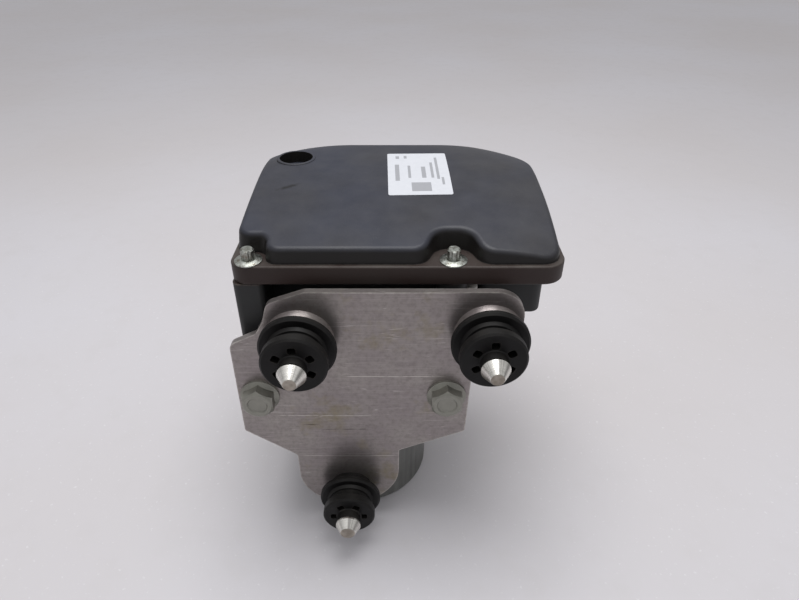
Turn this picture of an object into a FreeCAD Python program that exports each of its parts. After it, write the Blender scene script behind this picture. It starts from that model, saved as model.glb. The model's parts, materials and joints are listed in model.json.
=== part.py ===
import FreeCAD, Part
import math
import os

V = FreeCAD.Vector
ORIGIN = V(0, 0, 0)
ACROSS, BACK, UP = V(1, 0, 0), V(0, 1, 0), V(0, 0, 1)
FRONT, DOWN = V(0, -1, 0), V(0, 0, -1)

# An anti-lock brake unit, in millimetres. The origin is on the motor axis at the motor's
# closed end, on which the unit stands. +Z is up, towards the electronics, and the
# mounting bracket faces -Y.

# Fits and gaps
running_fit = 0.05
seat_fit = 0.02
rest_gap = 0.3

# Motor
can_wall = 2.0
can_edge_radius = 2.8
ear_offset = 5.5
ear_radius = 6.0
ear_thickness = 2.5
ear_angles = (90.0, 210.0, 330.0)
shaft_radius = 4.0
lower_bearing_radius = 9.5
lower_bearing_width = 6.0
bearing_seat_wall = 2.0
bearing_standoff = 5.0
upper_bearing_radius = 11.0
upper_bearing_width = 7.0
core_radius = 26.2
core_height = 24.0
slot_count = 12
slot_width = 3.4
slot_depth = 10.0
slot_mouth = 1.6
winding_overhang = 5.0
winding_inner_radius = 13.0
winding_bead = 1.5
air_gap = 0.8
magnet_arc = 130.0
magnet_overlap = 2.0
magnet_thickness = 6.4
commutator_radius = 10.5
commutator_height = 10.0
commutator_gap = 0.5
commutator_headroom = 2.2
commutator_groove = 0.7
commutator_riser = 1.5
brush_length = 10.0
brush_width = 5.0
brush_height = 6.0
brush_wear_travel = 4.0
brush_above_middle = 0.5
brush_spring_radius = 1.7
brush_spring_wire = 0.5
brush_spring_room = 2.5
brush_plate_thickness = 4.0
brush_box_wall = 2.0

# Eccentric drive and pump
eccentricity = 0.6
eccentric_radius = 5.5
eccentric_width = 11.0
ring_radius = 9.0
ring_width = 9.0
end_journal_radius = 3.5
end_journal_length = 7.0
pump_axis_above_block = 13.0
piston_radius = 4.0
piston_length = 16.0
piston_bore_length = 18.5
piston_spring_pocket = 6.0
piston_tip_bevel = 1.5
piston_pocket_wall = 1.1
pump_spring_wire = 0.7
plug_radius = 8.0
plug_recess = 1.0
plug_bevel = 0.6
plug_socket = 6.0
plug_socket_depth = 3.0

# Pressure reservoirs below the outlet valves
reservoir_across = 28.0
reservoir_back = 38.0
reservoir_radius = 9.0
reservoir_depth = 24.0
reservoir_cap = 3.0
reservoir_piston_height = 8.0
reservoir_piston_wall = 2.6
reservoir_piston_crown = 2.5
reservoir_seal_groove = 1.2
reservoir_spring_radius = 4.8
reservoir_spring_wire = 1.1
reservoir_travel = 7.0
reservoir_cap_dish = 0.8

# Hydraulic block
block_left = -45.2
block_right = 50.0
block_front = -40.0
block_back = 52.0
block_height = 48.0
block_chamfer = 0.8
wheel_port_radius = 5.0
wheel_port_spacing = 22.0
wheel_port_below_top = 16.0
inlet_port_radius = 6.0
inlet_port_spacing = 19.0
inlet_port_above_bottom = 14.5
port_depth = 12.0
port_spotface = 1.0
port_spotface_margin = 2.5
drill_point_angle = 31.0

# Solenoid valves
valve_spacing = 20.4
valve_row_front = -6.0
valve_row_back = 18.0
valve_body_radius = 5.0
valve_collar_radius = 6.5
valve_collar_height = 2.0
valve_depth = 17.0
valve_foot_radius = 3.0
dome_radius = 4.0
dome_wall = 0.6
inlet_dome_height = 21.0
outlet_dome_height = 18.5
plunger_length = 11.0
needle_radius = 1.0
seat_bore_radius = 0.7
seat_chamber_radius = 2.2
seat_above_foot = 6.0
valve_lift = 0.25
coil_radius = 9.6
coil_height = 16.0
coil_flange = 1.5
terminal_width = 0.8
terminal_offset = 6.6

# Electronics housing
frame_height = 26.7
frame_wall = 3.0
frame_left = -44.0
frame_right = 48.5
frame_front = -20.0
frame_back = 50.5
frame_corner = 5.0
flange_left = -45.7
flange_right = 87.7
flange_front = -36.0
flange_back = 68.5
flange_height = 8.3
flange_floor = 3.0
flange_corners = (7.0, 9.0, 26.0, 14.0)
pillar_right = -33.0
shroud_left = 54.0
shroud_right = 83.0
shroud_front = -22.0
shroud_back = 56.0
shroud_wall = 3.0
shroud_corner = 4.5
shroud_ledge = 1.6
shroud_ledge_height = 3.0
shroud_lift = 3.4
pin_rows = (-6.0, 0.0, 6.0)
pins_in_row = 11
pin_pitch = 5.0
pin_thickness = 1.0
pin_drop = 16.0
power_pin_width = 5.0
seal_width = 1.4
seal_depth = 1.5
seal_edge = 0.8
cover_seal_edge = 0.6
tray_margin = 1.2
housing_edge_radius = 0.8
pillar_margin = 0.3
pillar_corner = 3.0
boss_web_width = 8.0
boss_set_back = 2.0
locating_pin_wall = 1.5
locating_pin_radius = 2.35
locating_pin_length = 13.0
locating_pin_across = 51.5
locating_pin_back = -27.0
locating_pin_top_below_flange = 4.6
board_thickness = 1.6
board_standoff = 2.0
post_radius = 2.2
post_spread = 22.0
board_edge = 0.5

# Parts on the circuit board: centre across and back, width, depth and height
board_chips = (
    (17.0, -5.0, 18.0, 18.0, 2.2), (-15.0, -10.0, 14.0, 12.0, 1.8),
    (-5.0, 37.0, 14.0, 14.0, 1.8), (39.0, 34.0, 10.0, 12.0, 2.6))
capacitor_radius = 4.0
capacitor_height = 4.0
capacitor_row = (6.0, 17.0, 28.0)
capacitor_back = 50.0
resistor_row = (-28.5, -18.5, -8.5, 1.5, 11.5, 21.5, 31.5)
resistor_back = 9.0
resistor_size = (3.0, 2.0, 1.2)

# Cover
cover_left = -44.4
cover_right = 85.8
cover_front = -34.0
cover_back = 65.5
cover_corner_front = 8.0
cover_corner_back_right = 28.0
cover_corner_back_left = 17.0
cover_wall = 2.5
cover_draft = 1.4
cover_edge_radius = 2.6
crown_height = 14.2
crown_ridge = 40.0
crown_radius = 350.0
crown_step = 8.0

# Where the cover's top falls away: the corner's side and end, how far out the fall starts, its radius
corner_falls = ((1, -1, 38.0, 105.0), (-1, 1, 60.0, 75.0), (1, 1, 58.0, 68.0))
notch_radius = 6.5
notch_root = 4.4
notch_bend = 5.0
recess_radius = 6.4
recess_mouth = 11.0
recess_bend = 7.8
recess_flare = 7.0
recess_depth = 12.5
well_radius = 8.0
well_wall = 1.4
well_floor = 2.0
well_lip = 0.5
well_lip_round = 0.5
well_ledge_depth = 5.5
well_throat_radius = 6.2

# Electronics screws, at their places in plan
screw_shank_radius = 2.5
screw_flange_radius = 5.5
screw_flange_height = 1.2
screw_head_radius = 2.7
screw_head_height = 4.4
screw_flange_rim = 0.5
screw_head_bevel = 0.6
screw_lobe_radius = 0.75
screw_lobe_offset = 0.25
motor_screw_head_radius = 4.5
motor_screw_head_height = 3.2
motor_screw_socket = 4.0
motor_screw_socket_depth = 2.0
screw_thread_depth = 8.5
corner_screw = (-38.3, -31.0)
recess_screw = (42.9, -31.0)
well_screw = (-28.4, 42.5)
screw_boss_radius = 6.5

# Bracket. Its heights are measured from the block's lower face.
sheet = 3.0
left_ear = (-19.2, 53.2)
right_ear = (57.6, 55.8)
tongue_eye = (-2.2, -38.5)
bracket_top = 75.7
bracket_left = -49.0
bracket_right = 51.2
lower_left_corner = 0.3
lower_right_corner = 0.0
tongue_left = -26.3
tongue_right = 20.9
tongue_foot = -51.0
tongue_left_radius = 21.5
tongue_right_radius = 25.0
tongue_shoulder = (21.3, -12.9)
right_flank = (31.7, -8.3)
left_flank = (-26.6, -16.0)
ear_reach = 13.6
ear_radius_top = 11.5
ear_radius_low = 12.5
shoulder_start = (-15.7, 75.7)
shoulder_slope = (-31.0, 70.3)
shoulder_drop = (-33.5, 61.6)
shoulder_foot = (-36.9, 55.6)
shoulder_end = (-48.5, 50.0)
bolt_left = -39.3
bolt_right = 41.9
bolt_rise = 22.0
bolt_radius = 4.0
bolt_clearance = 0.5
bolt_flange_radius = 8.5
bolt_flange_height = 2.2
bolt_across_flats = 13.0
bolt_head_height = 6.8
bolt_flange_rim = 0.9
bolt_crown_bevel = 1.2
bolt_dish_depth = 0.6
bolt_dish_edge = 2.0
bolt_depth = 20.0
boss_base_radius = 14.2
boss_top_radius = 12.8
boss_height = 5.0
boss_foot_share = 0.35
boss_edge = 0.8
stud_radius = 4.0

# Rubber mounts, as turned sizes of the two upper ones
ring_outer_radius = 15.8
ring_thickness = 3.2
neck_radius = 10.6
step_radius = 12.2
disc_radius = 13.3
disc_start = 13.1
disc_end = 17.7
hub_radius = 5.5
hub_end = 22.0
ring_step = 1.6
mount_edge = 0.8
hub_foot = 0.4
hub_edge = 0.5
blind_hole_side = 3.3
blind_hole_circle = 7.6
blind_hole_depth = 8.0
blind_hole_count = 6
blind_hole_corner = 0.9
upper_hole_turn = 90.0
lower_hole_turn = 60.0
small_mount_scale = 0.905
rubber_collar_radius = 10.0
tip_base_radius = 5.7
tip_end_radius = 2.8
tip_land = 0.8
tip_length = 5.4
lower_tip_cut = 1.3
tip_bevel = 0.4
rivet_radius = 7.0
rivet_height = 1.8
rivet_bevel = 0.6

# Levels and places that follow from the sizes above
core_start = bearing_standoff + lower_bearing_width + winding_overhang
core_end = core_start + core_height
commutator_start = core_end + winding_overhang + commutator_gap
commutator_end = commutator_start + commutator_height
can_length = commutator_end + commutator_headroom + brush_plate_thickness + rest_gap
block_bottom = can_length
block_top = block_bottom + block_height
flange_bottom = block_top + frame_height
flange_top = flange_bottom + flange_height
pump_level = block_bottom + pump_axis_above_block
plate_back = block_front
plate_front = plate_back - sheet
left_mount = (left_ear[0], block_bottom + left_ear[1])
right_mount = (right_ear[0], block_bottom + right_ear[1])
bottom_mount = (tongue_eye[0], block_bottom + tongue_eye[1])
bolt_height = block_bottom + bolt_rise
magnet_inner_radius = core_radius + air_gap
magnet_outer_radius = magnet_inner_radius + magnet_thickness
can_radius = magnet_outer_radius + seat_fit + can_wall
ear_circle = can_radius + ear_offset
drive_start = pump_level - eccentric_width / 2
drive_end = pump_level + eccentric_width / 2
chamber_radius = ring_radius + eccentricity + rest_gap + running_fit
piston_tip = ring_radius + eccentricity + running_fit
board_level = flange_bottom + flange_floor + board_standoff
valve_columns = tuple((column - 1.5) * valve_spacing for column in range(4))
screw_places = (corner_screw, recess_screw, well_screw)
screw_seats = (flange_top, flange_top, flange_top + well_floor)


def block_of(x0, x1, y0, y1, z0, z1):
    return Part.makeBox(x1 - x0, y1 - y0, z1 - z0, V(x0, y0, z0))


def centred_block(base, width, depth, height):
    """Block that stands on base, with its middle there in plan."""
    return Part.makeBox(width, depth, height, base - V(width / 2, depth / 2, 0))


def rod(radius, length, base, axis=UP):
    return Part.makeCylinder(radius, length, base, axis)


def turned(profile, base=ORIGIN, axis=UP):
    """Solid of revolution through (radius, height) pairs, standing on base along axis."""
    points = [V(radius, 0, height) for radius, height in profile]
    face = Part.Face(Part.makePolygon(points + points[:1]))
    solid = face.revolve(ORIGIN, UP, 360)
    solid.Placement = FreeCAD.Placement(base, FreeCAD.Rotation(UP, axis))
    return solid


def grown_corner(before, here, after, grow):
    """A polygon corner moved outward by grow, with its radius and edge directions."""
    came = (V(here[0], here[1], 0) - V(before[0], before[1], 0)).normalize()
    goes = (V(after[0], after[1], 0) - V(here[0], here[1], 0)).normalize()
    came_out = V(came.y, -came.x, 0)
    goes_out = V(goes.y, -goes.x, 0)
    shift = (came_out + goes_out) * (grow / (1 + came_out.dot(goes_out)))
    turn = came.x * goes.y - came.y * goes.x
    radius = max(here[2] + math.copysign(grow, turn), 0) if here[2] else 0
    return V(here[0], here[1], 0) + shift, radius, came, goes


def outline(corners, level=0.0, grow=0.0):
    """Closed wire through (x, y, radius) corners, anticlockwise, grown outward by grow."""
    edges = []
    stops = []
    for index, here in enumerate(corners):
        after = corners[(index + 1) % len(corners)]
        point, radius, came, goes = grown_corner(corners[index - 1], here, after, grow)
        reach = radius * math.tan(came.getAngle(goes) / 2)
        start = point - came * reach
        end = point + goes * reach
        stops.append((start, end))
        if radius:
            inward = (goes - came).normalize()
            middle = point + inward * (math.hypot(radius, reach) - radius)
            edges.append((index, Part.Arc(start, middle, end).toShape()))
    joined = []
    arcs = dict(edges)
    for index, (start, end) in enumerate(stops):
        if index in arcs:
            joined.append(arcs[index])
        following = stops[(index + 1) % len(stops)][0]
        if end.distanceToPoint(following) > 1e-6:
            joined.append(Part.LineSegment(end, following).toShape())
    wire = Part.Wire(joined)
    wire.translate(V(0, 0, level))
    return wire


def prism(corners, bottom, top, grow=0.0):
    return Part.Face(outline(corners, bottom, grow)).extrude(V(0, 0, top - bottom))


def rectangle(x0, x1, y0, y1, radii):
    """Corner list from front left, anticlockwise, with one radius or one for each corner."""
    if not isinstance(radii, tuple):
        radii = (radii,) * 4
    places = ((x0, y0), (x1, y0), (x1, y1), (x0, y1))
    return [(x, y, radius) for (x, y), radius in zip(places, radii)]


def round_places(count, radius, start=0.0):
    """Evenly spaced points on a circle round Z."""
    step = 2 * math.pi / count
    angles = [math.radians(start) + index * step for index in range(count)]
    return [V(radius * math.cos(angle), radius * math.sin(angle), 0) for angle in angles]


def coil_spring(mean_radius, wire, length, turns, base, axis):
    """Compression spring of square wire that stands on base along axis."""
    half = wire / 2
    free = length - 2 * wire
    helix = Part.makeHelix(free / turns, free, mean_radius)
    corners = [(-half, -half), (half, -half), (half, half), (-half, half)]
    points = [V(mean_radius + across, 0, along) for across, along in corners]
    section = Part.makePolygon(points + points[:1])
    spring = Part.Wire(helix).makePipeShell([section], True, True)
    turn = FreeCAD.Rotation(UP, axis)
    spring.Placement = FreeCAD.Placement(base + axis * wire, turn)
    return spring


def inlet_and_outlet_places():
    """Name, centre and dome height of each valve on the block's top face."""
    places = []
    rows = (("inlet", valve_row_front, inlet_dome_height), ("outlet", valve_row_back, outlet_dome_height))
    for kind, row, dome_height in rows:
        for number, column in enumerate(valve_columns, 1):
            places.append((f"{kind}_{{}}_{number}", V(column, row, block_top), dome_height))
    return places


def hydraulic_block():
    corners = rectangle(block_left, block_right, block_front, block_back, 0)
    block = prism(corners, block_bottom, block_top)
    block = block.makeChamfer(block_chamfer, block.Edges)
    cuts = drive_bores() + pump_bores() + reservoir_bores() + valve_bores() + port_bores()
    for x in (bolt_left, bolt_right):
        cuts.append(rod(bolt_radius, bolt_depth, V(x, block_front, bolt_height), BACK))
    for x, y in screw_places:
        cuts.append(rod(screw_shank_radius, screw_thread_depth, V(x, y, block_top), DOWN))
    for place in ear_places():
        cuts.append(rod(screw_shank_radius, screw_thread_depth, place + V(0, 0, block_bottom)))
    return block.cut(cuts)


def drive_bores():
    """Bearing seat, eccentric chamber and end journal bore on the motor axis."""
    seat = rod(upper_bearing_radius + seat_fit, upper_bearing_width, V(0, 0, block_bottom))
    chamber = rod(chamber_radius, drive_end - block_bottom + rest_gap, V(0, 0, block_bottom))
    journal_length = end_journal_length + 2 * rest_gap
    journal = rod(end_journal_radius + running_fit, journal_length, V(0, 0, drive_end))
    return [seat, chamber, journal]


def pump_bores():
    cuts = []
    for side, wall in ((ACROSS, block_right), (-ACROSS, -block_left)):
        reach = piston_tip + piston_bore_length
        centre = V(0, 0, pump_level)
        cuts.append(rod(piston_radius + running_fit, reach, centre, side))
        cuts.append(rod(plug_radius + seat_fit, wall - reach, centre + side * reach, side))
    return cuts


def reservoir_places():
    return [V(side * reservoir_across, reservoir_back, block_bottom) for side in (-1, 1)]


def reservoir_bores():
    return [rod(reservoir_radius + running_fit, reservoir_depth, place) for place in reservoir_places()]


def valve_bores():
    """Stepped cartridge bores, and a gallery that joins the two rows' feet."""
    cuts = []
    for _, place, _ in inlet_and_outlet_places():
        cuts.append(rod(valve_body_radius + seat_fit, valve_depth, place, DOWN))
    gallery_level = block_top - valve_depth + seat_above_foot + needle_radius
    for column in valve_columns:
        start = V(column, valve_row_front, gallery_level)
        cuts.append(rod(needle_radius, valve_row_back - valve_row_front, start, BACK))
    return cuts


def wheel_port_places():
    level = block_top - wheel_port_below_top
    return [V((column - 1.5) * wheel_port_spacing, block_back, level) for column in range(4)]


def inlet_port_places():
    level = block_bottom + inlet_port_above_bottom
    return [V(side * inlet_port_spacing / 2, block_back, level) for side in (-1, 1)]


def port_bores():
    """Pipe ports in the back face, each with a spotface and a drilled cone at its end."""
    cuts = []
    rows = ((wheel_port_places(), wheel_port_radius), (inlet_port_places(), inlet_port_radius))
    for places, radius in rows:
        face = radius + port_spotface_margin
        profile = [(0, 0), (face, 0), (face, port_spotface), (radius, port_spotface)]
        point = radius * math.tan(math.radians(drill_point_angle))
        profile += [(radius, port_depth), (0, port_depth + point)]
        cuts += [turned(profile, place, FRONT) for place in places]
    return cuts


def valve_body(place, dome_height):
    """Cartridge with a crimped collar and a thin domed tube, bored for its plunger."""
    foot = -valve_depth + rest_gap
    shoulder = dome_height - dome_radius / 2
    outside = turned([
        (0, foot), (valve_foot_radius, foot), (valve_foot_radius, foot + seat_above_foot / 2),
        (valve_body_radius, foot + seat_above_foot / 2 + 1), (valve_body_radius, 0),
        (valve_collar_radius, 0), (valve_collar_radius, valve_collar_height - 0.5),
        (valve_collar_radius - 0.5, valve_collar_height), (dome_radius, valve_collar_height),
        (dome_radius, shoulder), (dome_radius * 0.7, dome_height - 0.5), (dome_radius * 0.4, dome_height),
        (0, dome_height)])
    tube = dome_radius - dome_wall
    seat = foot + seat_above_foot
    bore_start = plunger_level(dome_height) - valve_lift - running_fit
    inside = turned([
        (0, foot - 1), (seat_bore_radius, foot - 1), (seat_bore_radius, seat), (seat_chamber_radius, seat),
        (seat_chamber_radius, seat + 3), (needle_radius + running_fit, seat + 4),
        (needle_radius + running_fit, bore_start), (tube, bore_start),
        (tube, shoulder - dome_wall), (dome_radius * 0.7 - dome_wall, dome_height - dome_wall - 0.5),
        (0, dome_height - dome_wall)])
    side_holes = rod(needle_radius, 4 * valve_body_radius, V(0, -2 * valve_body_radius, seat + 1.5), BACK)
    solid = outside.cut([inside, side_holes])
    solid.translate(place)
    return solid


def plunger_level(dome_height):
    """Height of the plunger's lower face above the block, at rest."""
    return dome_height - dome_radius / 2 - dome_wall - plunger_length


def valve_plunger(place, dome_height, lift_at_rest):
    """Armature with its needle; lift_at_rest is how far the needle stands off its seat."""
    tube = dome_radius - dome_wall - running_fit
    start = plunger_level(dome_height)
    tip = -valve_depth + rest_gap + seat_above_foot + lift_at_rest + running_fit
    solid = turned([
        (0, tip), (seat_bore_radius / 2, tip), (needle_radius, tip + 1), (needle_radius, start),
        (tube - 0.4, start), (tube, start + 0.4), (tube, start + plunger_length - 1),
        (tube - 1, start + plunger_length - 0.4), (0, start + plunger_length - 0.4)])
    solid.translate(place)
    return solid


def valve_coils():
    """Wound bobbins over the domes, each with two terminals up to the circuit board."""
    coils = []
    lift = valve_collar_height + rest_gap
    for _, place, _ in inlet_and_outlet_places():
        bore = dome_radius + seat_fit
        waist = coil_radius - 1
        coil = turned([
            (bore, 0), (coil_radius, 0), (coil_radius, coil_flange), (waist, coil_flange),
            (waist, coil_height - coil_flange), (coil_radius, coil_height - coil_flange),
            (coil_radius, coil_height), (bore, coil_height)])
        top = board_level + board_thickness - block_top - lift
        half = terminal_width / 2
        pins = [block_of(x - half, x + half, -half, half, coil_height - coil_flange, top)
                for x in (-terminal_offset, terminal_offset)]
        coil = coil.fuse(pins)
        coil.translate(place + V(0, 0, lift))
        coils.append(coil)
    return Part.makeCompound(coils)


def ear_places():
    turns = [math.radians(angle) for angle in ear_angles]
    return [V(ear_circle * math.cos(turn), ear_circle * math.sin(turn), 0) for turn in turns]


def motor_can():
    """Drawn cup with a rounded base, a bearing seat inside it and three fixing ears."""
    inner = can_radius - can_wall
    cup = rod(can_radius, can_length, ORIGIN)
    cup = cup.makeFillet(can_edge_radius, [edge for edge in cup.Edges if on_level(edge, 0)])
    hollow = rod(inner, can_length - can_wall, V(0, 0, can_wall))
    low = [edge for edge in hollow.Edges if on_level(edge, can_wall)]
    hollow = hollow.makeFillet(can_edge_radius - can_wall, low)
    seat = lower_bearing_radius + bearing_seat_wall
    seat_top = bearing_standoff + lower_bearing_width
    boss = rod(seat, seat_top - can_wall / 2, V(0, 0, can_wall / 2))
    stamped = rod(seat, can_wall / 3, ORIGIN).cut(rod(seat - bearing_seat_wall, can_wall / 3, ORIGIN))
    bearing = rod(lower_bearing_radius + seat_fit, lower_bearing_width, V(0, 0, bearing_standoff))
    shaft_room = rod(shaft_radius + rest_gap, can_wall, V(0, 0, bearing_standoff - can_wall / 2))
    ears = []
    for place in ear_places():
        ear = rod(ear_radius, ear_thickness, place + V(0, 0, can_length - ear_thickness))
        tab = block_of(0, ear_circle, -ear_radius, ear_radius, can_length - ear_thickness, can_length)
        tab.rotate(ORIGIN, UP, math.degrees(math.atan2(place.y, place.x)))
        ears += [ear, tab]
    holes = [rod(screw_shank_radius + seat_fit, ear_thickness, place + V(0, 0, can_length - ear_thickness))
             for place in ear_places()]
    can = cup.fuse(ears).cut(hollow).fuse(boss).cut([stamped, bearing, shaft_room] + holes)
    return can.removeSplitter()


def on_level(edge, level):
    """True for an edge that lies flat at this height."""
    return all(abs(vertex.Z - level) < 1e-6 for vertex in edge.Vertexes)


def magnet(side):
    """Curved ferrite magnet glued inside the can, on the given side."""
    start = core_start - magnet_overlap
    height = core_height + 2 * magnet_overlap
    half = magnet_arc / 2
    outer = Part.makeCylinder(magnet_outer_radius, height, V(0, 0, start), UP, magnet_arc)
    inner = rod(magnet_inner_radius, height, V(0, 0, start))
    solid = outer.cut(inner)
    solid.rotate(ORIGIN, UP, (0 if side > 0 else 180) - half)
    return solid


def slot_cutters(height, start, clearance=0.0):
    """Slots of the rotor core, open to its rim through a narrow mouth."""
    cutters = []
    outer = core_radius - slot_mouth
    for index in range(slot_count):
        half = slot_width / 2 - clearance
        mouth = slot_mouth / 2
        end = start + height
        slot = block_of(outer - slot_depth + clearance, outer - clearance, -half, half, start, end)
        if not clearance:
            slot = slot.fuse(block_of(outer - 1, core_radius + 1, -mouth, mouth, start, end))
        slot.rotate(ORIGIN, UP, index * 360 / slot_count)
        cutters.append(slot)
    return cutters


def armature_core():
    core = rod(core_radius, core_height, V(0, 0, core_start))
    bore = rod(shaft_radius, core_height, V(0, 0, core_start))
    return core.cut(slot_cutters(core_height, core_start) + [bore])


def windings():
    """Copper end turns above and below the core, joined by the bars in its slots."""
    outer = core_radius - slot_mouth - rest_gap
    bead = winding_bead
    ends = []
    for base in (core_start - winding_overhang, core_end):
        ends.append(turned([
            (winding_inner_radius, base), (outer - bead, base), (outer, base + bead),
            (outer, base + winding_overhang - bead), (outer - bead, base + winding_overhang),
            (winding_inner_radius, base + winding_overhang)]))
    height = core_height + 2 * bead
    bars = slot_cutters(height, core_start - bead, seat_fit * 5)
    return ends[0].fuse([ends[1]] + bars)


def commutator():
    body = rod(commutator_radius, commutator_height, V(0, 0, commutator_start))
    grooves = []
    for index in range(slot_count):
        half = commutator_groove / 2
        groove = block_of(commutator_radius - 1, commutator_radius + 1, -half, half,
                          commutator_start + commutator_riser, commutator_end)
        groove.rotate(ORIGIN, UP, (index + 0.5) * 360 / slot_count)
        grooves.append(groove)
    return body.cut(grooves + [rod(shaft_radius, commutator_height, V(0, 0, commutator_start))])


def motor_shaft():
    """Shaft with its eccentric crank and the end journal that runs in the block."""
    start = bearing_standoff + rest_gap
    shaft = rod(shaft_radius, drive_start - start, V(0, 0, start))
    crank = rod(eccentric_radius, eccentric_width, V(0, eccentricity, drive_start))
    journal = rod(end_journal_radius, end_journal_length, V(0, 0, drive_end))
    return shaft.fuse([crank, journal]).removeSplitter()


def bearing(radius, width, base):
    """Ball bearing as one ring, with the shields set back between its two races."""
    bore = shaft_radius + running_fit
    race = (radius - bore) / 4
    step = width / 10
    return turned([
        (bore, 0), (bore + race, 0), (bore + race, step), (radius - race, step), (radius - race, 0),
        (radius, 0), (radius, width), (radius - race, width), (radius - race, width - step),
        (bore + race, width - step), (bore + race, width), (bore, width)], base)


def eccentric_ring():
    bore = eccentric_radius + running_fit
    base = V(0, eccentricity, pump_level - ring_width / 2)
    edge = 0.5
    return turned([
        (bore, 0), (ring_radius - edge, 0), (ring_radius, edge), (ring_radius, ring_width - edge),
        (ring_radius - edge, ring_width), (bore, ring_width)], base)


def brush_plate():
    """Moulded end plate of the motor, with a box for each brush and its spring."""
    top = can_length - rest_gap
    bottom = top - brush_plate_thickness
    disc = rod(can_radius - can_wall - seat_fit, brush_plate_thickness, V(0, 0, bottom))
    plate = disc.cut(rod(shaft_radius + rest_gap * 3, brush_plate_thickness, V(0, 0, bottom)))
    start = commutator_radius + 2 * rest_gap + brush_box_wall / 2
    end = brush_spring_end() + brush_box_wall
    half = brush_width / 2 + brush_box_wall
    low = brush_level() - brush_height / 2 - brush_box_wall
    boxes = [block_of(*sorted((side * start, side * end)), -half, half, low, bottom) for side in (-1, 1)]
    plate = plate.fuse(boxes)
    slots = []
    half = brush_width / 2 + running_fit
    for side in (-1, 1):
        across = sorted((side * (start - 1), side * brush_spring_end()))
        level = brush_level()
        slots.append(block_of(*across, -half, half, level - brush_height / 2 - running_fit,
                              level + brush_height / 2 + running_fit))
    return plate.cut(slots)


def brush_level():
    return commutator_start + commutator_height / 2 + brush_above_middle


def brush_tip():
    return commutator_radius + rest_gap


def brush_spring_end():
    return brush_tip() + brush_length + brush_wear_travel + brush_spring_room


def brush(side):
    """Carbon brush, hollowed on its running end to the commutator's curve."""
    across = sorted((side * (brush_tip() - 1), side * (brush_tip() + brush_length)))
    level = brush_level()
    half = brush_width / 2
    block = block_of(*across, -half, half, level - brush_height / 2, level + brush_height / 2)
    return block.cut(rod(brush_tip(), 2 * brush_height, V(0, 0, level - brush_height)))


def brush_spring(side):
    start = brush_tip() + brush_length
    length = brush_spring_end() - start
    base = V(side * start, 0, brush_level())
    return coil_spring(brush_spring_radius, brush_spring_wire, length, 3.5, base, ACROSS * side)


def pump_piston(side):
    """Plunger that bears on the eccentric's ring, with a pocket for its spring."""
    pocket = piston_radius - piston_pocket_wall
    edge = 0.4
    tip = piston_tip
    end = tip + piston_length
    return turned([
        (0, tip), (piston_radius - piston_tip_bevel, tip), (piston_radius, tip + piston_tip_bevel),
        (piston_radius, end - edge), (piston_radius - edge, end), (pocket, end),
        (pocket, end - piston_spring_pocket), (0, end - piston_spring_pocket)],
        V(0, 0, pump_level), ACROSS * side)


def plug_face():
    """Distance of a pump plug's inner face from the motor axis, on either side."""
    return piston_tip + piston_bore_length + rest_gap


def pump_spring(side):
    start = piston_tip + piston_length - piston_spring_pocket
    base = V(side * start, 0, pump_level)
    radius = piston_radius - piston_pocket_wall - pump_spring_wire
    return coil_spring(radius, pump_spring_wire, plug_face() - start, 4.5, base, ACROSS * side)


def pump_plugs():
    """Screwed plugs that close the pump bores, each with a hexagon socket."""
    plugs = []
    for side, wall in ((1, block_right), (-1, -block_left)):
        length = wall - plug_recess - plug_face()
        body = turned([
            (0, 0), (plug_radius, 0), (plug_radius, length - plug_bevel), (plug_radius - plug_bevel, length),
            (0, length)])
        socket = hexagon(plug_socket, plug_socket_depth)
        socket.translate(V(0, 0, length - plug_socket_depth))
        plug = body.cut(socket)
        turn = FreeCAD.Rotation(UP, ACROSS * side)
        plug.Placement = FreeCAD.Placement(V(side * plug_face(), 0, pump_level), turn)
        plugs.append(plug)
    return Part.makeCompound(plugs)


def hexagon(across_flats, height):
    points = round_places(6, across_flats / math.sqrt(3))
    return Part.Face(Part.makePolygon(points + points[:1])).extrude(V(0, 0, height))


def reservoir_piston(place):
    """Cup piston with a seal groove, open towards its spring."""
    top = reservoir_depth - rest_gap
    bottom = top - reservoir_piston_height
    crown = top - reservoir_piston_crown
    pocket = reservoir_radius - reservoir_piston_wall
    groove = reservoir_radius - reservoir_seal_groove
    middle = (top + bottom) / 2
    return turned([
        (0, top), (0, crown), (pocket, crown), (pocket, bottom), (reservoir_radius, bottom),
        (reservoir_radius, middle - 1), (groove, middle - 1), (groove, middle + 1),
        (reservoir_radius, middle + 1), (reservoir_radius, top - 0.5), (reservoir_radius - 0.5, top)], place)


def reservoir_spring(place):
    length = reservoir_depth - rest_gap - reservoir_piston_crown - reservoir_cap
    base = place + V(0, 0, reservoir_cap)
    return coil_spring(reservoir_spring_radius, reservoir_spring_wire, length, 4.5, base, UP)


def reservoir_caps():
    caps = []
    for place in reservoir_places():
        radius = reservoir_radius + running_fit - seat_fit
        caps.append(turned([
            (0, reservoir_cap_dish), (radius - 3, reservoir_cap_dish), (radius - 2, 0), (radius, 0),
            (radius, reservoir_cap),
            (0, reservoir_cap)], place))
    return Part.makeCompound(caps)


def cover_corners():
    """Plan of the cover: a notch at the front-left screw and a recess at the front-right one."""
    notch_right = corner_screw[0] + notch_radius
    notch_back = corner_screw[1] + notch_radius
    recess = recess_screw[0]
    recess_back = cover_front + recess_depth
    return [
        (notch_right, cover_front, notch_bend), (recess - recess_mouth, cover_front, recess_flare),
        (recess - recess_radius, recess_back, recess_bend),
        (recess + recess_radius, recess_back, recess_bend),
        (recess + recess_mouth, cover_front, recess_flare), (cover_right, cover_front, cover_corner_front),
        (cover_right, cover_back, cover_corner_back_right), (cover_left, cover_back, cover_corner_back_left),
        (cover_left, notch_back, notch_bend), (notch_right, notch_back, notch_root)]


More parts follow.
